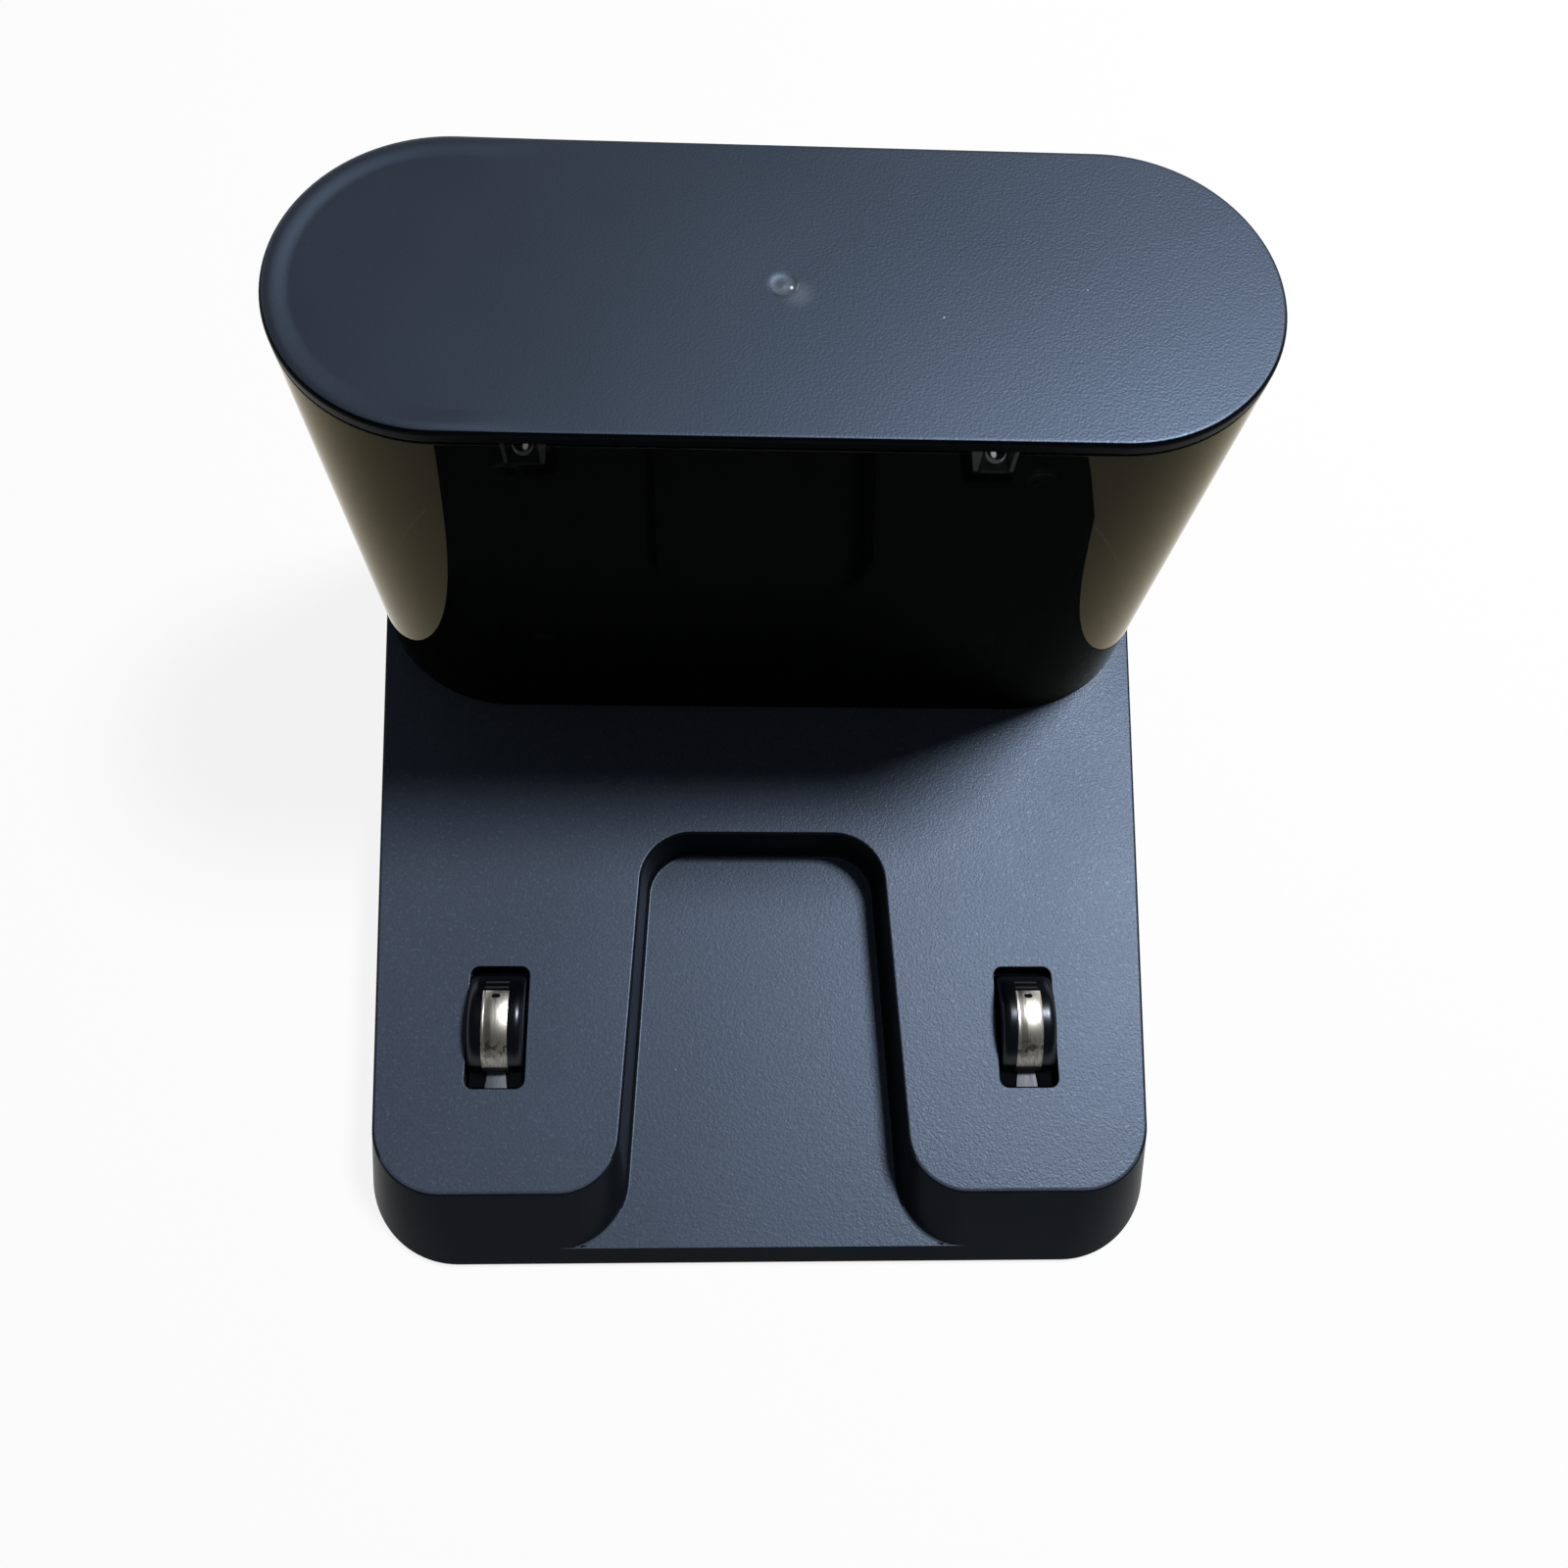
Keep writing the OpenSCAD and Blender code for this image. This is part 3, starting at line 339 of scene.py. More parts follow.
def cap_plastic():
    """The cap's plastic, with the mark of its moulding gate, a small highlight painted beside it, and a low ridge
    inside its left edge.
    """
    finish, colours, x, y, relief = moulded(
        "cap_plastic", bpy.context.scene.dock_tower.cap_colour, relief=(0.010, 0.042), roughness=0.455,
        specular=0.80, specks=CAP_SPECKS, painted_sheen_tint=(0.50, 0.68, 1.0), IOR=1.6)
    away = distance(x - GATE_X, y - GATE_Y)
    ring = finish.band(away, 2.1, 1.5) * (1 - finish.band(away, 1.3, 0.2) * 0.35)
    smear = finish.band(distance(x - 2.4, y - 50.2), 3.2, 0.2)
    # A small near-white highlight painted beside the gate mark, on the slope of its dimple.
    painted_gate_glint = finish.band(distance(x - 1.5, (y - 51.4) * 0.8), 0.34, 0.10)
    flake = finish.band(abs(x - 2.35 - (y - 51.4) * 0.25), 0.16, 0.04) * finish.band(abs(y - 51.5), 0.75, 0.45)
    pale = (ring * 0.24 + smear * 0.20 * (1 - ring) + flake * 0.5).clamp()
    marked = finish.mix(pale, colours, (0.22, 0.25, 0.28))
    finish.set(Base_Color=finish.mix(painted_gate_glint, marked, (0.80, 0.82, 0.85)))
    past_end = finish.band(x, -END_X, -END_X - 0.01) * (x + END_X) ** 2
    inset = TOWER_D / 2 - (past_end + (y - TOWER_Y) ** 2) ** 0.5
    ridge = finish.band(inset, 4.4, RIDGE_INSET) * finish.band(inset, 0.1, RIDGE_INSET) * finish.band(x, -34.0, -50.0)
    finish.bump(ridge * RIDGE_H + relief)


def base_plastic():
    """The base's plastic, with one faint scratch on its left arm."""
    settings = bpy.context.scene.dock_base
    finish, colours, x, y, relief = moulded(
        "base_plastic", settings.colour, relief=(0.026, 0.062), roughness=0.42, specular=0.58, specks=PLATE_SPECKS)
    right, back = x - SCRATCH_X, y - SCRATCH_Y
    scratch = finish.band(abs(right + back * 0.6), 0.22, 0.05) * finish.band(abs(back), 1.6, 1.0) \
        * finish.band(abs(right), 3.0, 2.0)
    finish.set(Base_Color=finish.mix(scratch * 0.5, colours, (0.10, 0.11, 0.13)))
    finish.bump(relief)


def shaded_side_plastic(name, colour, specular):
    """The same plastic on the walls and slopes of the base, or the side of the cap: polished, and painted darker as
    shade, since these faces turn from the light.
    """
    # Blue tint on the sheen: the colour of daylight painted into the reflection.
    finish = Finish(name, Specular_IOR_Level=specular, Specular_Tint=(0.6, 0.8, 1.0))
    cloud = finish.noise(0.02, detail=3.0)
    finish.set(Base_Color=finish.mix(cloud, dark(colour, 0.7), dark(colour, 1.3)),
               Roughness=0.36 + (cloud - 0.5) * 0.15)
    finish.bump(finish.noise(0.0008), 0.000004)


def plain_plastic(name, colour, roughness, depth=0.00001, specular=0.35):
    """Smooth or lightly textured moulding that mostly stays out of sight."""
    finish = Finish(name, Specular_IOR_Level=specular)
    fine = finish.noise(0.0006)
    cloud = finish.noise(0.02)
    finish.set(Base_Color=finish.mix((fine * 0.5 + cloud * 0.5), dark(colour, 0.75), dark(colour, 1.25)),
               Roughness=roughness + (cloud - 0.5) * 0.12)
    finish.bump(fine, depth)


def smoked_plastic():
    """Polished smoked sleeve: near black, a little light comes through. Its gloss is tinted tan, a painted reflection
    of a warm room.
    """
    settings = bpy.context.scene.dock_tower
    finish = Finish("smoked_plastic", Specular_IOR_Level=0.0, Alpha=settings.smoke)
    cloud = finish.noise(0.03)
    wipe = finish.noise(0.004, detail=3.0, stretch=(0.25, 0.25, 1.0))
    finish.set(Base_Color=finish.mix(cloud, (0.0014, 0.0020, 0.0018), (0.0024, 0.0032, 0.0028)),
               Roughness=finish.band(wipe, 0.35, 0.85, 0.020, 0.045))
    # Metallic gloss in the tan tint, shown by Fresnel: a painted reflection of a warm room.
    gloss = finish.node("ShaderNodeBsdfPrincipled", {
        "Base Color": settings.painted_reflection_tint, "Metallic": 1.0, "Roughness": 0.03, "Specular Tint": (1.0, 0.93, 0.80)})
    edge = finish.node("ShaderNodeFresnel", {"IOR": 1.38})
    finish.blend((edge * 1.10).clamp(), gloss)


def smoke_inside():
    """Inner face of the sleeve: the same smoke, without gloss."""
    finish = Finish("smoke_inside", Specular_IOR_Level=0.0, Alpha=0.35)
    cloud = finish.noise(0.03)
    finish.set(Base_Color=finish.mix(cloud, (0.0010, 0.0012, 0.0011), (0.0020, 0.0024, 0.0022)),
               Roughness=0.3 + cloud * 0.1)


def metal(name, colour, roughness, brushed=(1, 1, 1)):
    """Plated or bare metal with fine scratches along its brushed direction."""
    finish = Finish(name, Metallic=1.0)
    scratches = finish.noise(0.0004, detail=4.0, stretch=brushed, Roughness=0.7)
    cloud = finish.noise(0.003, detail=3.0)
    finish.set(Base_Color=finish.mix(scratches, dark(colour, 0.80), colour),
               Roughness=roughness + (scratches - 0.5) * 0.18 + (cloud - 0.5) * 0.12)
    finish.bump(scratches, 0.000012)


def beside_shoe(finish):
    """Place of a point from the middle of its contact shoe, to the right and to the rear, and its level."""
    x, y, z = finish.axes()
    return x - finish.band(x, -1, 1, -SHOE_X, SHOE_X), y - SHOE_Y, z


def strip_metal():
    """Satin nickel plating: rubbed along its length and spotted on the front of the arch. The front of the arch, a
    column left of its middle and the tab are painted darker as shade.
    """
    settings = bpy.context.scene.dock_shoes
    finish = Finish("strip_metal", Metallic=1.0)
    across, along, up = beside_shoe(finish)
    rubbed = finish.noise(0.0011, detail=4.0, stretch=(2.6, 0.22, 1), Roughness=0.65)
    cloud = finish.noise(0.0010, detail=3.0)
    # Painted shade: the front of the arch is darkened, as it turns from the light.
    painted_front_shade = finish.band(along, 1.4, -3.0)
    # Painted shade: a dark column left of the strip's middle.
    painted_shade_column = finish.band(abs(across + 1.05), 0.70, 0.25) * finish.band(along, 4.9, 3.6) \
        * finish.band(along, -6.2, -5.4)
    spots = finish.band(cloud, 0.50, 0.60) * finish.band(along, -3.0, -3.8) * finish.band(along, -6.0, -5.4)
    # Painted shade: the tab is a dull bluish grey instead of bright nickel.
    painted_tab_shade = finish.band(along, -7.55, -7.65)
    # Rubbing, and the painted shade of the front and the column, darken the plating together.
    wear_and_shade = (painted_front_shade * 0.78 + painted_shade_column * 0.75 + (rubbed - 0.5) * 1.1).clamp() * settings.scuffs_and_shade
    base = finish.mix(wear_and_shade, settings.nickel, (0.105, 0.102, 0.085))
    base = finish.mix((spots * 0.85).clamp() * settings.scuffs_and_shade, base, (0.030, 0.030, 0.026))
    base = finish.mix(painted_tab_shade, base, (0.135, 0.145, 0.17))
    finish.set(Base_Color=base, Roughness=(0.33 + (rubbed - 0.5) * 0.20 + wear_and_shade * 0.12 + painted_tab_shade * 0.20).clamp())
    lip = finish.band(across, -1.80, -2.15) * finish.band(up, PLATE_Z - 0.2, PLATE_Z)
    finish.bump(rubbed * 0.03 - across * across * 0.035 + lip * 0.10)


def shoe_plastic():
    """Black shoe, satin where the robot rubs it and polished on its low shoulders, with two faint bars painted lighter
    at its rear as sheen.
    """
    # Blue tint on the sheen: the colour of daylight painted into the reflection.
    finish = Finish("shoe_plastic", Specular_IOR_Level=0.36, Specular_Tint=(0.78, 0.86, 1.0))
    across, along, up = beside_shoe(finish)
    rubbed = finish.noise(0.0009, detail=3.0, stretch=(2.0, 0.3, 1))
    high = finish.band(up, PLATE_Z - 2.2, PLATE_Z - 0.6)
    # Painted sheen: two faint lighter bars across the rear of the shoe.
    painted_sheen_bars = finish.band(abs(abs(along - 7.1) - 0.55), 0.28, 0.10) * finish.band(abs(across), 2.2, 1.9)
    finish.set(Base_Color=finish.mix((painted_sheen_bars * 0.6).clamp(), (0.0012, 0.0014, 0.0024), (0.042, 0.042, 0.048)),
               Roughness=0.03 + high * (0.22 + (rubbed - 0.5) * 0.10))
    finish.bump(rubbed * high, 0.000006)


def beside_emitter(finish):
    """How far a point lies outwards from the middle of its emitter, its height, and how bright the painted light on
    its side is.
    """
    low, high = span("emitter_right")
    far_low, far_high = span("emitter_left")
    middle = (low.x + high.x + far_low.x + far_high.x) / 4
    x, y, z = finish.axes()
    return (abs(x - middle) - ((low.x + high.x) / 2 - middle), z - (low.z + high.z) / 2,
            finish.band(x, middle - 1, middle + 1, 0.36, 1.0))


def lens_epoxy():
    """Clear lens of an emitter: its body and the small glint on its dome are painted on as a glow, dimmer on the left
    emitter.
    """
    finish = Finish("emitter_epoxy", Specular_IOR_Level=0.5, Emission_Strength=3.4)
    out, up, lit = beside_emitter(finish)
    painted_glint = finish.band(distance(out + 0.55, up - 1.05), 0.50, 0.22)
    body = finish.band(abs(up + 0.35), 0.95, 0.70) * finish.band(abs(out), 1.60, 1.45)
    # Painted light: the outer part of the lens body glows a little brighter.
    corner = finish.band(abs(out - 1.1), 0.6, 0.2) * body
    cloud = finish.noise(0.0012)
    # The glow is painted light, not a lamp.
    painted_glow = finish.mix((body * 0.14 + corner * 0.20 + painted_glint * 0.95).clamp() * lit, (0, 0, 0), (0.93, 0.96, 1.0))
    finish.set(Base_Color=finish.mix(cloud, (0.30, 0.28, 0.33), (0.42, 0.39, 0.46)), Emission_Color=painted_glow,
               Roughness=0.12 + (cloud - 0.5) * 0.1)
    finish.bump(cloud, 0.000005)


def holder_plastic():
    """Emitter's hood: black, with a glow painted on its cheeks and lower lip as the light they catch."""
    finish = Finish("holder_plastic", Specular_IOR_Level=0.4, Emission_Strength=0.8)
    out, up, lit = beside_emitter(finish)
    # Painted light: the cheeks and lower lip glow as if lit.
    painted_cheek_light = finish.band(abs(out), 2.25, 2.45) * finish.band(up, -2.9, -2.2)
    lip = finish.band(up, -2.2, -2.45) * finish.band(abs(out), 2.2, 1.9)
    cloud = finish.noise(0.0015)
    painted_glow = finish.mix((painted_cheek_light + lip * 0.35).clamp() * lit, (0, 0, 0), (0.26, 0.28, 0.28))
    finish.set(Base_Color=finish.mix(cloud, (0.03, 0.03, 0.033), (0.06, 0.06, 0.065)), Emission_Color=painted_glow,
               Roughness=0.45 + (cloud - 0.5) * 0.1)
    finish.bump(cloud, 0.000005)


def board_laminate():
    """Dark green solder mask with faint tracks under it."""
    finish = Finish("board_laminate", Specular_IOR_Level=0.4)
    lanes = finish.noise(0.0022, detail=0.0, stretch=(0.15, 1, 1))
    tracks = finish.band(abs(lanes - 0.5), 0.035, 0.02)
    weave = finish.noise(0.0005, detail=1.0)
    finish.set(Base_Color=finish.mix(tracks * 0.6, (0.008, 0.030, 0.014), (0.020, 0.075, 0.032)),
               Roughness=0.38 + weave * 0.12)
    finish.bump(tracks, 0.00003)


# Finishes with a function of their own, then the values of the plainer ones
FINISHES = (base_plastic, cap_plastic, smoked_plastic, smoke_inside, holder_plastic, lens_epoxy, shoe_plastic,
            strip_metal, board_laminate)
# Darker copies of the base's plastic: painted shade on the faces that turn from the light.
SHADED_SIDE_PLASTICS = {
    "wall_plastic": ((0.0062, 0.0078, 0.0105), 0.05),
    "rim_plastic": ((0.0016, 0.0020, 0.0026), 0.03),
}
PLAIN_PLASTICS = {
    "cover_plastic": ((0.020, 0.023, 0.028), 0.55, 0.00002),
    "core_plastic": ((0.012, 0.013, 0.015), 0.50),
    "foot_rubber": ((0.016, 0.016, 0.018), 0.80, 0.00003, 0.2),
    "capacitor_sleeve": ((0.020, 0.040, 0.110), 0.28, 0.000004, 0.5),
    "chip_epoxy": ((0.012, 0.012, 0.013), 0.50),
    "connector_nylon": ((0.75, 0.72, 0.62), 0.45),
    "lead_red": ((0.36, 0.020, 0.016), 0.40, 0.000004),
    "lead_black": ((0.015, 0.015, 0.016), 0.42, 0.000004),
}
METALS = {
    "spring_wire": ((0.55, 0.56, 0.58), 0.30),
    "terminal_brass": ((0.62, 0.46, 0.20), 0.32, (1, 0.2, 1)),
    "screw_steel": ((0.55, 0.56, 0.58), 0.34),
    "ballast_steel": ((0.38, 0.39, 0.40), 0.42, (0.2, 1, 1)),
    "pin_metal": ((0.75, 0.74, 0.70), 0.22),
}


# Meshes, worked out in millimetres

def mix(a, b, share):
    return a + (b - a) * share


def fillet(radius, steps):
    """Points (back, up) of a quarter round, from its side up to its top."""
    return [(radius * (1 - cos(pi / 2 * k / steps)), radius * sin(pi / 2 * k / steps)) for k in range(steps + 1)]


def belt(circles, steps, z):
    """Outline that runs round circles (x, y, signed radius) like a belt, anticlockwise."""
    angles = []
    for (ax, ay, ar), (bx, by, br) in zip(circles, circles[1:] + circles[:1]):
        angles.append(atan2(by - ay, bx - ax) - acos((ar - br) / hypot(bx - ax, by - ay)))
    points = []
    for i, (x, y, r) in enumerate(circles):
        sweep = (angles[i] - angles[i - 1]) % tau
        if r < 0 and sweep > 0:
            sweep -= tau
        for k in range(steps[i] + 1):
            a = angles[i - 1] + sweep * k / steps[i]
            points.append((x + r * cos(a), y + r * sin(a), z))
    return points


def stadium(inset, z, end_steps, side_steps=30):
    """Outline of the tower, with round ends, inset by so much, anticlockwise from its right front."""
    r = TOWER_D / 2 - inset
    points = []
    for side in (1, -1):
        points += [(side * (END_X + r * sin(pi * k / end_steps)), TOWER_Y - side * r * cos(pi * k / end_steps), z)
                   for k in range(end_steps + 1)]
        points += [(side * END_X * (1 - 2 * k / side_steps), TOWER_Y + side * r, z) for k in range(1, side_steps)]
    return points


def rounded_oblong(w, l, r, grow, steps=6):
    """Points (u, v) of a rectangle with round corners, grown by so much."""
    points = []
    for i, (su, sv) in enumerate(((1, 1), (-1, 1), (-1, -1), (1, -1))):
        for k in range(steps + 1):
            a = pi / 2 * (i + k / steps)
            points.append((su * (w / 2 - r) + (r + grow) * cos(a), sv * (l / 2 - r) + (r + grow) * sin(a)))
    return points


def loft(rings, closed=False):
    """Vertices and faces through rings of as many points, with ends unless closed."""
    n, count = len(rings[0]), len(rings)
    vertices = [p for ring in rings for p in ring]
    faces = []
    for j in range(count if closed else count - 1):
        for i in range(n):
            k, a, b = (i + 1) % n, j * n, (j + 1) % count * n
            faces.append((a + i, a + k, b + k, b + i))
    if not closed:
        faces += [tuple(range(n))[::-1], tuple(range((count - 1) * n, count * n))]
    return vertices, faces


def block(low, high):
    """Loft along Y between two corners."""
    return loft([[(low.x, y, low.z), (high.x, y, low.z), (high.x, y, high.z), (low.x, y, high.z)]
                 for y in (low.y, high.y)])


def turned(profile, x, y, steps=48):
    """Loft round the vertical axis through x, y of a profile of (radius, z)."""
    rings = [[(x + r * cos(tau * k / steps), y + r * sin(tau * k / steps), z) for k in range(steps)]
             for r, z in profile]
    return loft(rings)


def tube(path, radius, sides):
    """Tube along a path that never runs along +Z."""
    rings = []
    for i, point in enumerate(path):
        along = (path[min(i + 1, len(path) - 1)] - path[max(i - 1, 0)]).normalized()
        out = along.cross(Vector((0, 0, 1))).normalized()
        up = out.cross(along)
        rings.append([tuple(point + radius * (out * cos(tau * k / sides) + up * sin(tau * k / sides)))
                      for k in range(sides)])
    return loft(rings)


def piece(name, part):
    """Object from vertices and faces in millimetres, with its normals out."""
    vertices, faces = part
    mesh = bpy.data.meshes.new(name)
    mesh.from_pydata([tuple(c * MM for c in p) for p in vertices], [], faces)
    made = bmesh.new()
    made.from_mesh(mesh)
    bmesh.ops.recalc_face_normals(made, faces=made.faces)
    made.to_mesh(mesh)
    made.free()
    obj = bpy.data.objects.new(name, mesh)
    bpy.context.scene.collection.objects.link(obj)
    return obj


def settle(obj):
    """Turns the object's modifiers into mesh."""
    graph = bpy.context.evaluated_depsgraph_get()
    mesh = bpy.data.meshes.new_from_object(obj.evaluated_get(graph))
    old, obj.data = obj.data, mesh
    obj.modifiers.clear()
    bpy.data.meshes.remove(old)


def cut(obj, *cutters, operation="DIFFERENCE"):
    """Takes each cutter out of the object, or joins it to the object."""
    for cutter in cutters:
        modifier = obj.modifiers.new("cut", "BOOLEAN")
        modifier.operation, modifier.solver, modifier.object = operation, "EXACT", cutter
    settle(obj)
    for cutter in cutters:
        bpy.data.objects.remove(cutter)


def round_edges(obj, width, segments, angle):
    """Rounds the edges that turn by more than the angle."""
    bevel = obj.modifiers.new("round", "BEVEL")
    bevel.width, bevel.segments, bevel.angle_limit = width, segments, radians(angle)
    settle(obj)


def smooth(obj, angle=30):
    """Smooth shading that keeps flat faces flat and sharp edges sharp."""
    obj.data.shade_smooth()
    obj.data.set_sharp_from_angle(angle=radians(angle))
    modifier = obj.modifiers.new("weigh", "WEIGHTED_NORMAL")
    modifier.keep_sharp = True
    settle(obj)


def coat(obj, slot):
    """Puts one finish on an object."""
    obj.data.materials.clear()
    obj.data.materials.append(bpy.data.materials[f"{slot}_finish"])


def coat_faces(obj, name, chosen):
    """Puts a second finish on the faces that are chosen."""
    obj.data.materials.append(bpy.data.materials[f"{name}_finish"])
    for face in obj.data.polygons:
        face.material_index = int(chosen(face))


def is_side(face):
    """Whether a face belongs to the walls and slopes instead of a level top."""
    return face.normal.z <= LEVEL


def dress(obj, slot, body, node):
    """Gives a piece its finish and its body, in place of a CAD node."""
    coat(obj, slot)
    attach(obj, body)
    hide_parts(node)


def base_circles(z, inset=0.0, arms=True):
    """Circles that the outline of the base runs round at a level."""
    share = (z - BOTTOM_Z) / (PLATE_Z - BOTTOM_Z)
    low = 1 - (z - FLOOR_Z) / (PLATE_Z - FLOOR_Z)
    front = TOE_Y + TOE_RUN * share
    toe_r, half = mix(TOE_R_FOOT, TOE_R_TOP, share), TOE_W / 2 + TOE_FLARE * (1 - share)
    tip_r, mouth = mix(TIP_R_TOP, TIP_R_FOOT, low), CHANNEL_MOUTH_W / 2 - CHANNEL_DRAFT * low
    lean = CHANNEL_DRAFT * low
    back_r = CHANNEL_R - lean

    def toe(s): return (s * (half - toe_r), front + toe_r, toe_r)
    def tip(s): return (s * (mouth + tip_r), front + tip_r, tip_r)
    def back(s): return (s * (CHANNEL_BACK_W / 2 - lean - back_r), CHANNEL_END_Y - lean - back_r, -back_r)
    def end(s): return (s * END_X, TOWER_Y, TOWER_D / 2)

    inner = [tip(-1), back(-1), back(1), tip(1)] if arms else []
    return [(x, y, r - inset) for x, y, r in [toe(-1), *inner, toe(1), end(1), end(-1)]]


def arc_steps(arms=True):
    """Steps of each corner, by how far it turns."""
    fine = bpy.context.scene.dock_base.arc_step
    quarter, half = ceil(pi / 2 / fine), ceil(pi / fine)
    return [quarter] + ([quarter] * 4 if arms else []) + [quarter, half, half]


def base_outside():
    """Outside of the base as one closed skin, with edges marked for rounding."""
    settings = bpy.context.scene.dock_base
    steps = arc_steps()
    starts = [sum(s + 1 for s in steps[:i]) for i in range(len(steps) + 1)]
    n = starts[-1]
    low = belt(base_circles(FLOOR_Z), steps, FLOOR_Z)
    top = belt(base_circles(PLATE_Z), steps, PLATE_Z)
    foot = belt(base_circles(BOTTOM_Z, arms=False), arc_steps(arms=False), BOTTOM_Z)
    outer = list(range(starts[0], starts[1])) + list(range(starts[5], n))
    inner = list(range(starts[1], starts[5]))
    m, toe = len(foot), steps[0]
    faces = [(i, (i + 1) % n, n + (i + 1) % n, n + i) for i in range(n)]
    faces.append(tuple(range(n, 2 * n)))
    faces.append(tuple(inner))
    for i in range(m):
        k = (i + 1) % m
        if i != toe:
            faces.append((2 * n + i, 2 * n + k, outer[k], outer[i]))
    faces.append((2 * n + toe, 2 * n + toe + 1, outer[toe + 1], inner[-1], inner[0], outer[toe]))
    faces.append(tuple(range(2 * n, 2 * n + m))[::-1])
    obj = piece("base_moulding", (low + top + foot, faces))

    widest = max(settings.edge_round, settings.floor_fillet)
    ramp = 4
    made = bmesh.new()
    made.from_mesh(obj.data)
    made.verts.ensure_lookup_table()
    weight = made.edges.layers.float.new("bevel_weight_edge")

    def mark(pairs, size, faded=False):
        for j, (a, b) in enumerate(pairs):
            edge = made.edges.get((made.verts[a], made.verts[b]))
            near = min(j, len(pairs) - 1 - j, ramp) / ramp if faded else 1
            edge[weight] = size / widest * near

    mark([(n + i, n + (i + 1) % n) for i in range(n)], settings.edge_round)
    mark(list(zip(inner, inner[1:])), settings.floor_fillet, faded=True)
    mark([(2 * n + i, 2 * n + (i + 1) % m) for i in range(m)], settings.edge_round / 2)
    made.to_mesh(obj.data)
    made.free()
    bevel = obj.modifiers.new("round", "BEVEL")
    bevel.limit_method, bevel.width, bevel.segments = "WEIGHT", widest, 4
    bevel.use_clamp_overlap = False
    settle(obj)
    return obj


def opening(w, l, r, at, depth, edge, rear=False):
    """Cutter for a rounded opening, flared by a rounding where it meets the face.
    It stands on the plate, or faces the rear."""
    levels = [(-depth, 0.0), (-edge, 0.0)] + [(up - edge, back) for back, up in fillet(edge, 4)[1:]]
    levels.append((1.0, edge))
    rings = []
    for level, grow in levels:
        ring = rounded_oblong(w, l, r, grow)
        if rear:
            rings.append([(at[0] - u, at[1] + level, at[2] + v) for u, v in ring])
        else:
            rings.append([(at[0] + u, at[1] + v, at[2] + level) for u, v in ring])
    return piece("opening", loft(rings))


class DOCK_OT_finishes(bpy.types.Operator):
    """Make the finishes and put them on the CAD nodes that stay"""
    bl_idname = "dock.finishes"
    bl_label = "Finishes"

    def execute(self, context):
        for make in FINISHES:
            make()
        for make, table in ((shaded_side_plastic, SHADED_SIDE_PLASTICS), (plain_plastic, PLAIN_PLASTICS), (metal, METALS)):
            for name, values in table.items():
                make(name, *values)
        for row in frame["record"]["subparts"]:
            coat(frame["nodes"][row["node"]], row["material_slot"])
        return {"FINISHED"}


class DOCK_OT_base(bpy.types.Operator):
    """Build the base moulding with its channel, slots and inlet window"""
    bl_idname = "dock.base"
    bl_label = "Base Moulding"

    def execute(self, context):
        round_ = context.scene.dock_base.slot_round / MM
        obj = base_outside()
        ceiling, step = PLATE_Z - WALL, COVER_Z + 0.1
        hollows = [piece("hollow", loft([
            belt(base_circles(z, WALL, arms), arc_steps(arms), z) for z in levels]))
            for arms, levels in ((False, (BOTTOM_Z - 1, step)), (True, (step - 1, ceiling)))]
        cut(obj, *hollows)
        cutters = [opening(SLOT_W, SLOT_L, SLOT_R, (s * SHOE_X, SHOE_Y, PLATE_Z), WALL + 1, round_)
                   for s in (-1, 1)]
        cutters.append(opening(INLET_W, INLET_H, INLET_R, (0, BACK_Y, INLET_Z), WALL + 1, round_, rear=True))
        cut(obj, *cutters)
        smooth(obj)
        dress(obj, "base_plastic", "base", "base_shell")
        # Walls and slopes get the darker copy of the plastic, as painted shade.
        coat_faces(obj, "wall_plastic", is_side)
        return {"FINISHED"}


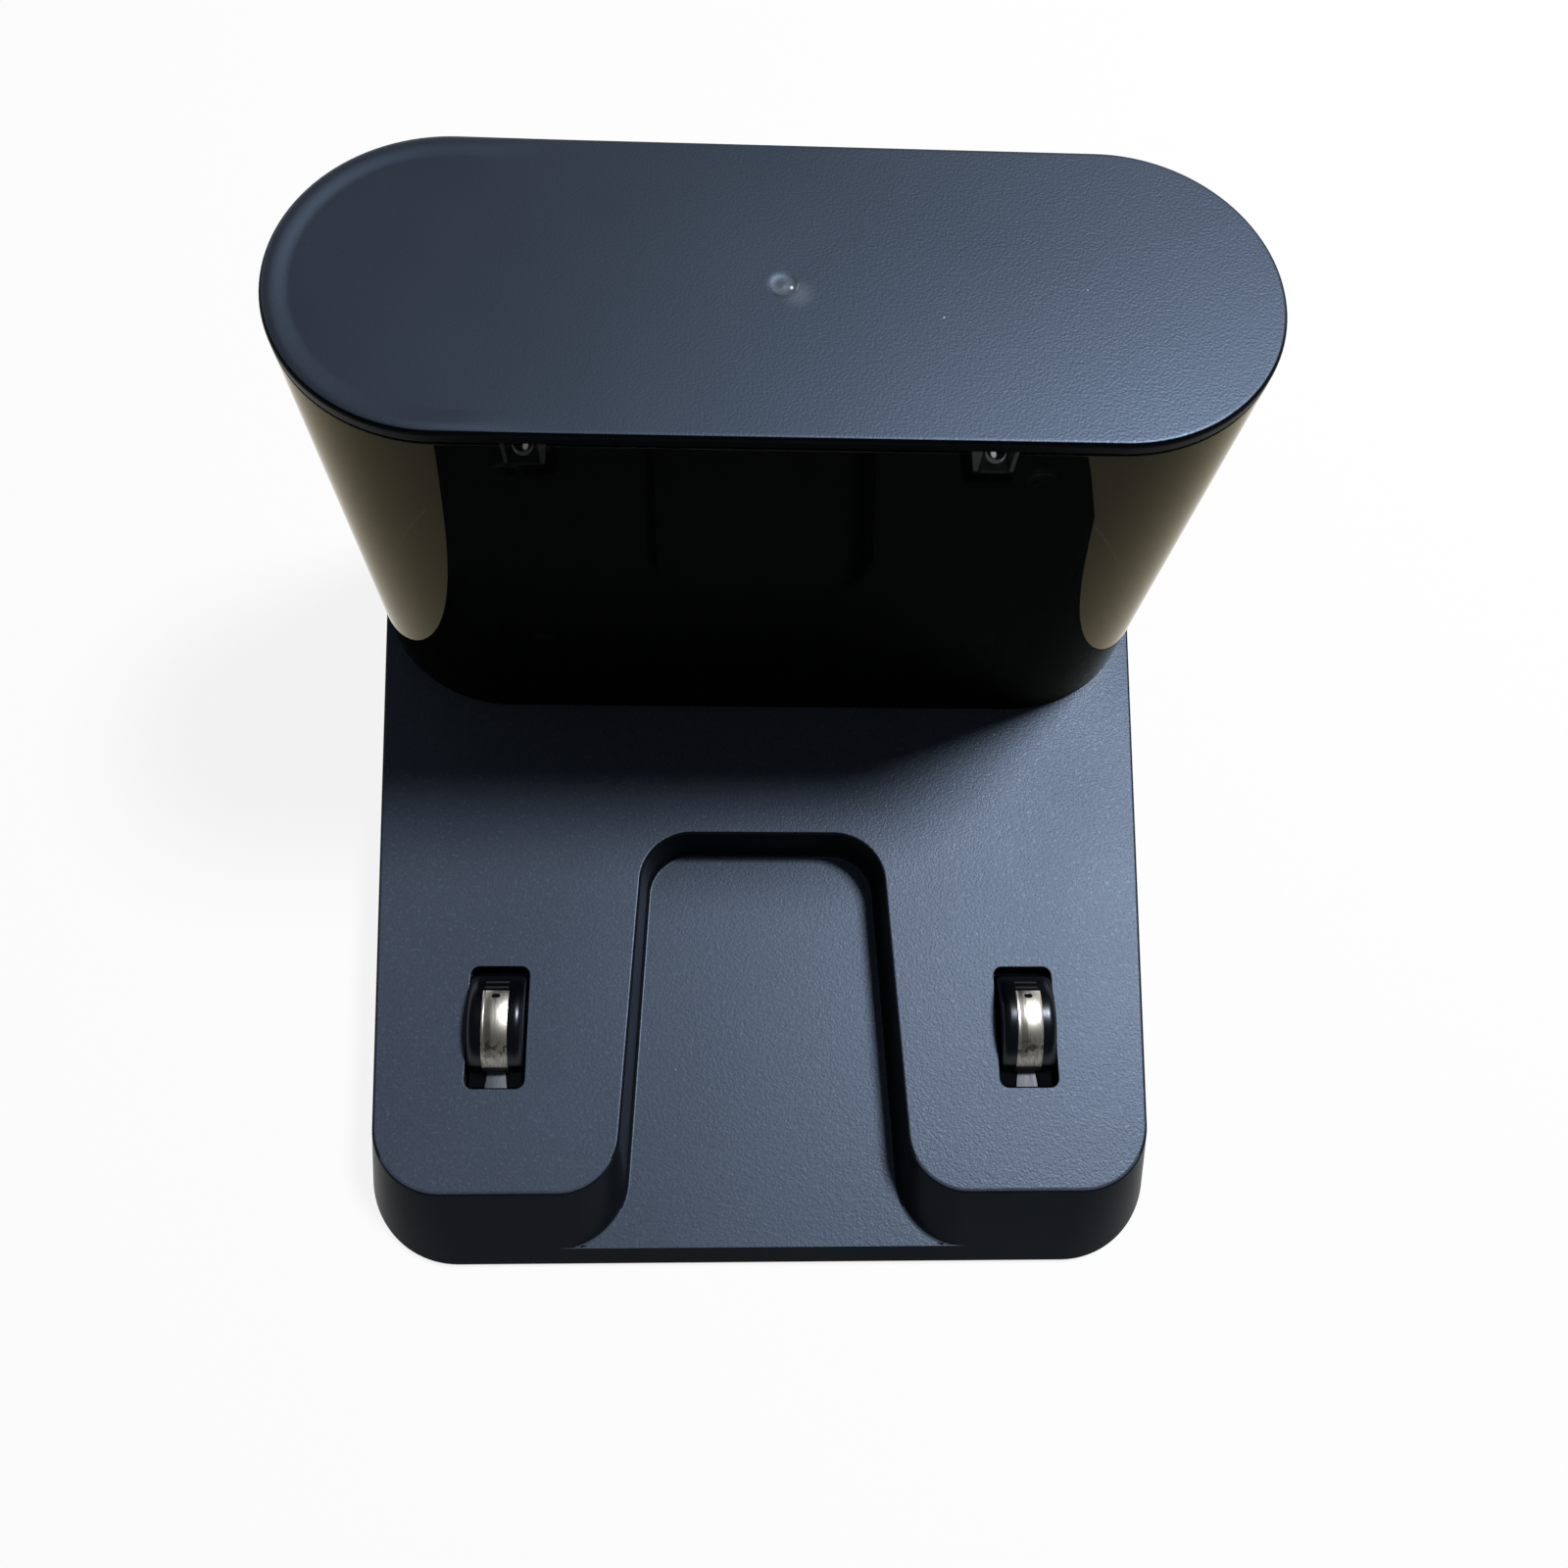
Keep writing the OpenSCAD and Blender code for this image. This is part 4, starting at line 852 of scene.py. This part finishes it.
class DOCK_OT_tower(bpy.types.Operator):
    """Build the smoked sleeve and the cap with its gate mark"""
    bl_idname = "dock.tower"
    bl_label = "Tower"

    def execute(self, context):
        settings = context.scene.dock_tower
        steps = settings.end_steps
        edge = settings.sleeve_round / MM
        outer = [(back, PLATE_Z + edge - up) for back, up in reversed(fillet(edge, 3))]
        outer += [(back, SLEEVE_TOP_Z - edge + up) for back, up in fillet(edge, 3)]
        profile = outer + [(SLEEVE_WALL - back, z) for back, z in reversed(outer)]
        sleeve = piece("smoked_sleeve", loft([stadium(inset, z, steps) for inset, z in profile], closed=True))
        smooth(sleeve)
        dress(sleeve, "smoked_plastic", "base", "tower_sleeve")

        def is_inside(face):
            x, y, _ = face.center / MM
            return hypot(max(abs(x) - END_X, 0), y - TOWER_Y) < (TOWER_D - SLEEVE_WALL) / 2

        coat_faces(sleeve, "smoke_inside", is_inside)

        cap_z = CAP_TOP_Z - CAP_EDGE
        round_ = settings.cap_round / MM
        inner = SKIRT_INSET + SKIRT_WALL
        profile = [(inner, cap_z), (inner, cap_z - SKIRT_H), (SKIRT_INSET, cap_z - SKIRT_H), (SKIRT_INSET, cap_z)]
        profile += [(back, cap_z + SEAM - up) for back, up in reversed(fillet(SEAM, 3))]
        rise, run = settings.border_rise / MM, settings.border_run / MM
        face_z = CAP_TOP_Z - rise
        profile += [(back, face_z - round_ + up) for back, up in fillet(round_, 8)]
        profile += [(round_ + run * k / 10, face_z) for k in range(1, 12)]
        rings = []
        for inset, z in profile:
            fade = 1 - min(max((inset - round_) / run, 0), 1)
            up = rise * fade ** 1.15 if z > cap_z + 1 else 0
            rings.append([(x, y, z + up * min(max(-1 - x / END_X / 0.7, 0), 1))
                          for x, y, z in stadium(inset, z, steps)])
        for r, z in GATE_MARK:
            rings.append([(GATE_X + r * cos(a), GATE_Y + r * sin(a), face_z + z)
                          for a in (atan2(y - TOWER_Y, x) for x, y, _ in rings[0])])
        cap = piece("cap", loft(rings))
        smooth(cap)
        dress(cap, "cap_plastic", "base", "tower_cap")
        # The cap's side gets a still darker copy of the plastic, as painted shade.
        coat_faces(cap, "rim_plastic", is_side)
        return {"FINISHED"}


class DOCK_OT_emitters(bpy.types.Operator):
    """Build the infrared emitters: a hood with a round diode in it"""
    bl_idname = "dock.emitters"
    bl_label = "Emitters"

    def execute(self, context):
        for side, _ in SIDES:
            low, high = span(f"emitter_{side}")
            x, z, r = (low.x + high.x) / 2, (low.z + high.z) / 2, (high.x - low.x) / 2
            front = high.y - FLANGE_T
            profile = [(0.3, high.y), (r, high.y), (r, front + FLANGE_EDGE), (r - FLANGE_EDGE, front), (LENS_R, front)]
            profile += [(LENS_R * cos(a), low.y + LENS_R * (1 - sin(a))) for a in (pi / 2 * k / 9 for k in range(9))]
            rings = [[(x + q * cos(tau * k / 32), y, z + q * sin(tau * k / 32)) for k in range(32)]
                     for q, y in profile]
            lens = piece(f"emitter_lens_{side}", loft(rings))
            smooth(lens, 40)
            dress(lens, "emitter_epoxy", "base", f"emitter_{side}")

            low, high = span(f"emitter_holder_{side}")
            hood = piece(f"emitter_hood_{side}", block(low, high))
            wall = Vector((HOOD_WALL, 0, HOOD_WALL))
            cut(hood, piece("bay", block(low + wall - Vector((0, 1, 0)), high - Vector((HOOD_WALL, HOOD_WALL, -1)))))
            round_edges(hood, HOOD_ROUND * MM, 2, 40)
            smooth(hood, 40)
            dress(hood, "holder_plastic", "base", f"emitter_holder_{side}")
        return {"FINISHED"}


def arch_top(along, lower=0.0):
    """Height of the shoe's arch above the plate, or of a line that lies lower than it."""
    return SHOE_RISE - ARCH_R + ((ARCH_R - lower) ** 2 - (along - SHOE_SHIFT) ** 2) ** 0.5


def shoe_body(x, cheek_w, cheek_h, end_round=0.35, edge=0.3, steps=40):
    """Loft along one shoe: its block with the arch on it, whose long edges are rounded."""
    front, rear = SHOE_SHIFT - SHOE_L / 2, SHOE_SHIFT + SHOE_L / 2
    ends = fillet(end_round, 4)
    sections = [(-BLOCK_L / 2, BLOCK_TOP, edge, edge, 0.0), (front - 0.002, BLOCK_TOP, edge, edge, 0.0)]
    sections += [(front + back, arch_top(front + back) - end_round + up, cheek_w, cheek_h, end_round - up)
                 for back, up in ends]
    reach = acos((SHOE_L / 2 - end_round) / ARCH_R)
    for k in range(1, steps):
        along = SHOE_SHIFT - ARCH_R * cos(mix(reach, pi - reach, k / steps))
        sections.append((along, arch_top(along), cheek_w, cheek_h, 0.0))
    sections += [(rear - back, arch_top(rear - back) - end_round + up, cheek_w, cheek_h, end_round - up)
                 for back, up in reversed(ends)]
    sections += [(rear + 0.002, BLOCK_TOP, edge, edge, 0.0), (BLOCK_L / 2, BLOCK_TOP, edge, edge, 0.0)]
    rings = []
    for along, top, w, h, inset in sections:
        side = [(SHOE_HALF - inset, BLOCK_BOTTOM), (SHOE_HALF - inset, BLOCK_TOP - 0.5)]
        side += [(SHOE_HALF - inset - w * back, top - h + h * up) for back, up in fillet(1.0, 8)]
        outline = side + [(-u, z) for u, z in reversed(side)]
        rings.append([(x + u, SHOE_Y + along, PLATE_Z + z) for u, z in outline])
    return loft(rings)


def strip_bed(x, steps=32, clear=7.0):
    """Loft across one shoe: the room for its strip, over the arch, down its front and back under the block."""
    front = SHOE_SHIFT - SHOE_L / 2 + STRIP_BED
    side = [(mix(STRIP_REAR, front, k / steps), arch_top(mix(STRIP_REAR, front, k / steps), STRIP_BED))
            for k in range(steps + 1)]
    side += [(front, BLOCK_TOP - STRIP_BED), (STRIP_BED - BLOCK_L / 2, BLOCK_TOP - STRIP_BED),
             (STRIP_BED - BLOCK_L / 2, BLOCK_BOTTOM + STRIP_BED), (STRIP_TAIL, BLOCK_BOTTOM + STRIP_BED),
             (STRIP_TAIL, -clear), (-BLOCK_L, -clear), (-BLOCK_L, clear), (STRIP_REAR, clear)]
    return loft([[(x + u, SHOE_Y + along, PLATE_Z + z) for along, z in side]
                 for u in (-STRIP_W / 2 - STRIP_GAP, STRIP_W / 2 + STRIP_GAP)])


def plated_strip(side, x, settings, cuts=10):
    """Copy of one strip's solid, cut along its length so that its arch can be crowned, with its edges rounded."""
    strip = bpy.data.objects.new(f"plated_strip_{side}", frame["nodes"][f"contact_strip_{side}"].data.copy())
    bpy.context.scene.collection.objects.link(strip)
    made = bmesh.new()
    made.from_mesh(strip.data)
    bmesh.ops.remove_doubles(made, verts=made.verts, dist=0.000002)
    bmesh.ops.dissolve_limit(made, angle_limit=radians(0.6), verts=made.verts, edges=made.edges)
    for k in range(1, cuts):
        bmesh.ops.bisect_plane(made, geom=made.verts[:] + made.edges[:] + made.faces[:], dist=0.000001,
                               plane_co=((x + STRIP_W * (k / cuts - 0.5)) * MM, 0, 0), plane_no=(1, 0, 0))
    for vertex in made.verts:
        across, along, up = vertex.co / MM - Vector((x, SHOE_Y, PLATE_Z))
        if up > -0.01 and hypot(along - SHOE_SHIFT, up - SHOE_RISE + ARCH_R) > ARCH_R:
            vertex.co.z -= settings.crown * (2 * across / STRIP_W) ** 2
    made.to_mesh(strip.data)
    made.free()
    round_edges(strip, settings.strip_round, 3, 50)
    return strip


class DOCK_OT_shoes(bpy.types.Operator):
    """Build the contact shoes: a black carrier with steep cheeks, and its crowned plated strip"""
    bl_idname = "dock.shoes"
    bl_label = "Contact Shoes"

    def execute(self, context):
        settings = context.scene.dock_shoes
        for side, sign in SIDES:
            x = sign * SHOE_X
            carrier = piece(f"shoe_{side}", shoe_body(x, settings.cheek_w / MM, settings.cheek_h / MM))
            outline = rounded_oblong(WING_W, WING_L, WING_R, 0)
            wings = loft([[(x + u, SHOE_Y + v, PLATE_Z + z) for u, v in outline] for z in (WING_BOTTOM, WING_TOP)])
            cut(carrier, piece("wings", wings), operation="UNION")
            cut(carrier, piece("strip_bed", strip_bed(x)))
            smooth(carrier, 35)
            dress(carrier, "shoe_plastic", f"contact_{side}", f"contact_carrier_{side}")

            strip = plated_strip(side, x, settings)
            smooth(strip, 30)
            dress(strip, "strip_metal", f"contact_{side}", f"contact_strip_{side}")
        return {"FINISHED"}


class DOCK_OT_springs(bpy.types.Operator):
    """Wind the conical springs under the contact shoes"""
    bl_idname = "dock.springs"
    bl_label = "Springs"

    def execute(self, context):
        settings = context.scene.dock_shoes
        wire = settings.wire / MM
        steps, tip_r = 28, 2.0
        for side, sign in SIDES:
            node = f"contact_spring_{side}"
            low, high = span(node)
            foot_r = (high.x - low.x - wire) / 2
            x, y = (high.x + low.x) / 2, (high.y + low.y) / 2
            path = []
            for i in range(settings.turns * steps + 1):
                share = i / (settings.turns * steps)
                r, a = mix(foot_r, tip_r, share), tau * i / steps
                path.append(Vector((x + sign * r * cos(a), y + r * sin(a),
                                    mix(low.z + wire / 2, high.z - wire / 2, share))))
            spring = piece(f"spring_{side}", tube(path, wire / 2, 10))
            smooth(spring, 60)
            dress(spring, "spring_wire", "base", node)
            travel = next(j for j in frame["joints"] if j["name"] == f"contact_{side}_press")["range_m"][1] / MM
            (high.z - low.z - travel) / (high.z - low.z)
            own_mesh(spring)
        return {"FINISHED"}


class DOCK_OT_feet(bpy.types.Operator):
    """Build the rubber feet with their ribbed soles"""
    bl_idname = "dock.feet"
    bl_label = "Rubber Feet"

    def execute(self, context):
        for corner in ("front_left", "front_right", "rear_left", "rear_right"):
            low, high = span(f"foot_{corner}")
            r, x, y = (high.x - low.x) / 2, (high.x + low.x) / 2, (high.y + low.y) / 2
            profile = SOLE + [(r - SOLE_ROUND + up, back) for back, up in fillet(SOLE_ROUND, 4)]
            profile += [(r, high.z - 0.1), (r - 0.1, high.z)]
            foot = piece(f"rubber_foot_{corner}", turned(profile, x, y))
            smooth(foot, 40)
            dress(foot, "foot_rubber", "base", f"foot_{corner}")
        return {"FINISHED"}


class DOCK_OT_stage(bpy.types.Operator):
    """Set up the pale floor, the lamp, the room light and the camera"""
    bl_idname = "dock.stage"
    bl_label = "Stage"

    def execute(self, context):
        settings = context.scene.dock_stage
        scene = context.scene
        scene.view_settings.view_transform = "Standard"
        radius = settings.floor_radius / MM
        rings = [[(r * cos(tau * k / 96), r * sin(tau * k / 96), z) for k in range(96)]
                 for r, z in [(1.0, 0.0), (radius, 0.0)]
                 + [(radius + up, back) for back, up in fillet(FLOOR_CURVE, 10)[1:]]
                 + [(radius + FLOOR_CURVE, 2 * FLOOR_CURVE)]]
        vertices, faces = loft(rings)
        floor = piece("pale_floor", (vertices, faces[:-1]))
        floor.data.flip_normals()
        floor.data.shade_smooth()

        paper = Finish("pale_paper", Roughness=0.9, Specular_IOR_Level=0.0, Base_Color=settings.floor_colour)
        rays = paper.node("ShaderNodeLightPath").socket.node
        seen = [Value(paper, rays.outputs[name]) for name in
                ("Is Camera Ray", "Is Glossy Ray", "Is Transmission Ray")]
        white = paper.node("ShaderNodeEmission", {"Color": (1, 1, 1), "Strength": 1.0})
        paper.blend((seen[0] + seen[1] + seen[2]).clamp() * FLOOR_WHITE, white)
        floor.data.materials.append(paper.material)

        world = bpy.data.worlds.new("room")
        world.use_nodes = True
        scene.world = world
        background = world.node_tree.nodes["Background"]
        background.inputs["Color"].default_value = ROOM_COLOUR
        background.inputs["Strength"].default_value = settings.room_light

        aim = Vector(LAMP_AIM)
        key = bpy.data.lights.new("key", "AREA")
        key.shape, key.size, key.energy = "DISK", LAMP_SIZE, settings.key_power
        lamp = bpy.data.objects.new("key", key)
        lamp.location = aim + Vector(LAMP_WAY).normalized() * LAMP_FAR
        lamp.rotation_euler = (aim - lamp.location).to_track_quat("-Z", "Y").to_euler()
        scene.collection.objects.link(lamp)

        camera = bpy.data.cameras.new("camera")
        camera.lens, camera.sensor_width, camera.clip_start = settings.lens, 36.0, 0.005
        view = bpy.data.objects.new("camera", camera)
        view.location = CAMERA_AT
        view.rotation_euler = [radians(turn) for turn in CAMERA_TURN]
        scene.collection.objects.link(view)
        scene.camera = view
        return {"FINISHED"}


class DOCK_PT_panel(bpy.types.Panel):
    """Steps that build the dock, and their settings"""
    bl_label = "Charging Dock"
    bl_space_type = "VIEW_3D"
    bl_region_type = "UI"
    bl_category = "Dock"

    def draw(self, context):
        for group, operators in STEPS:
            box = self.layout.box()
            settings = getattr(context.scene, group)
            for name in settings.__annotations__:
                box.prop(settings, name)
            for operator in operators:
                box.operator(operator.bl_idname)


GROUPS = {"dock_stage": StageSettings, "dock_base": BaseSettings, "dock_tower": TowerSettings,
          "dock_shoes": ShoeSettings}
STEPS = (
    ("dock_stage", (DOCK_OT_stage,)),
    ("dock_base", (DOCK_OT_finishes, DOCK_OT_base, DOCK_OT_feet)),
    ("dock_tower", (DOCK_OT_tower, DOCK_OT_emitters)),
    ("dock_shoes", (DOCK_OT_shoes, DOCK_OT_springs)),
)
CLASSES = (*GROUPS.values(), *(operator for _, operators in STEPS for operator in operators), DOCK_PT_panel)


def register():
    for cls in CLASSES:
        bpy.utils.register_class(cls)
    for name, group in GROUPS.items():
        setattr(bpy.types.Scene, name, PointerProperty(type=group))


def unregister():
    for name in GROUPS:
        delattr(bpy.types.Scene, name)
    for cls in reversed(CLASSES):
        bpy.utils.unregister_class(cls)


def main():
    register()
    for _, operators in STEPS:
        for operator in operators:
            section, name = operator.bl_idname.split(".")
            getattr(getattr(bpy.ops, section), name)()


if __name__ == "__main__":
    main()
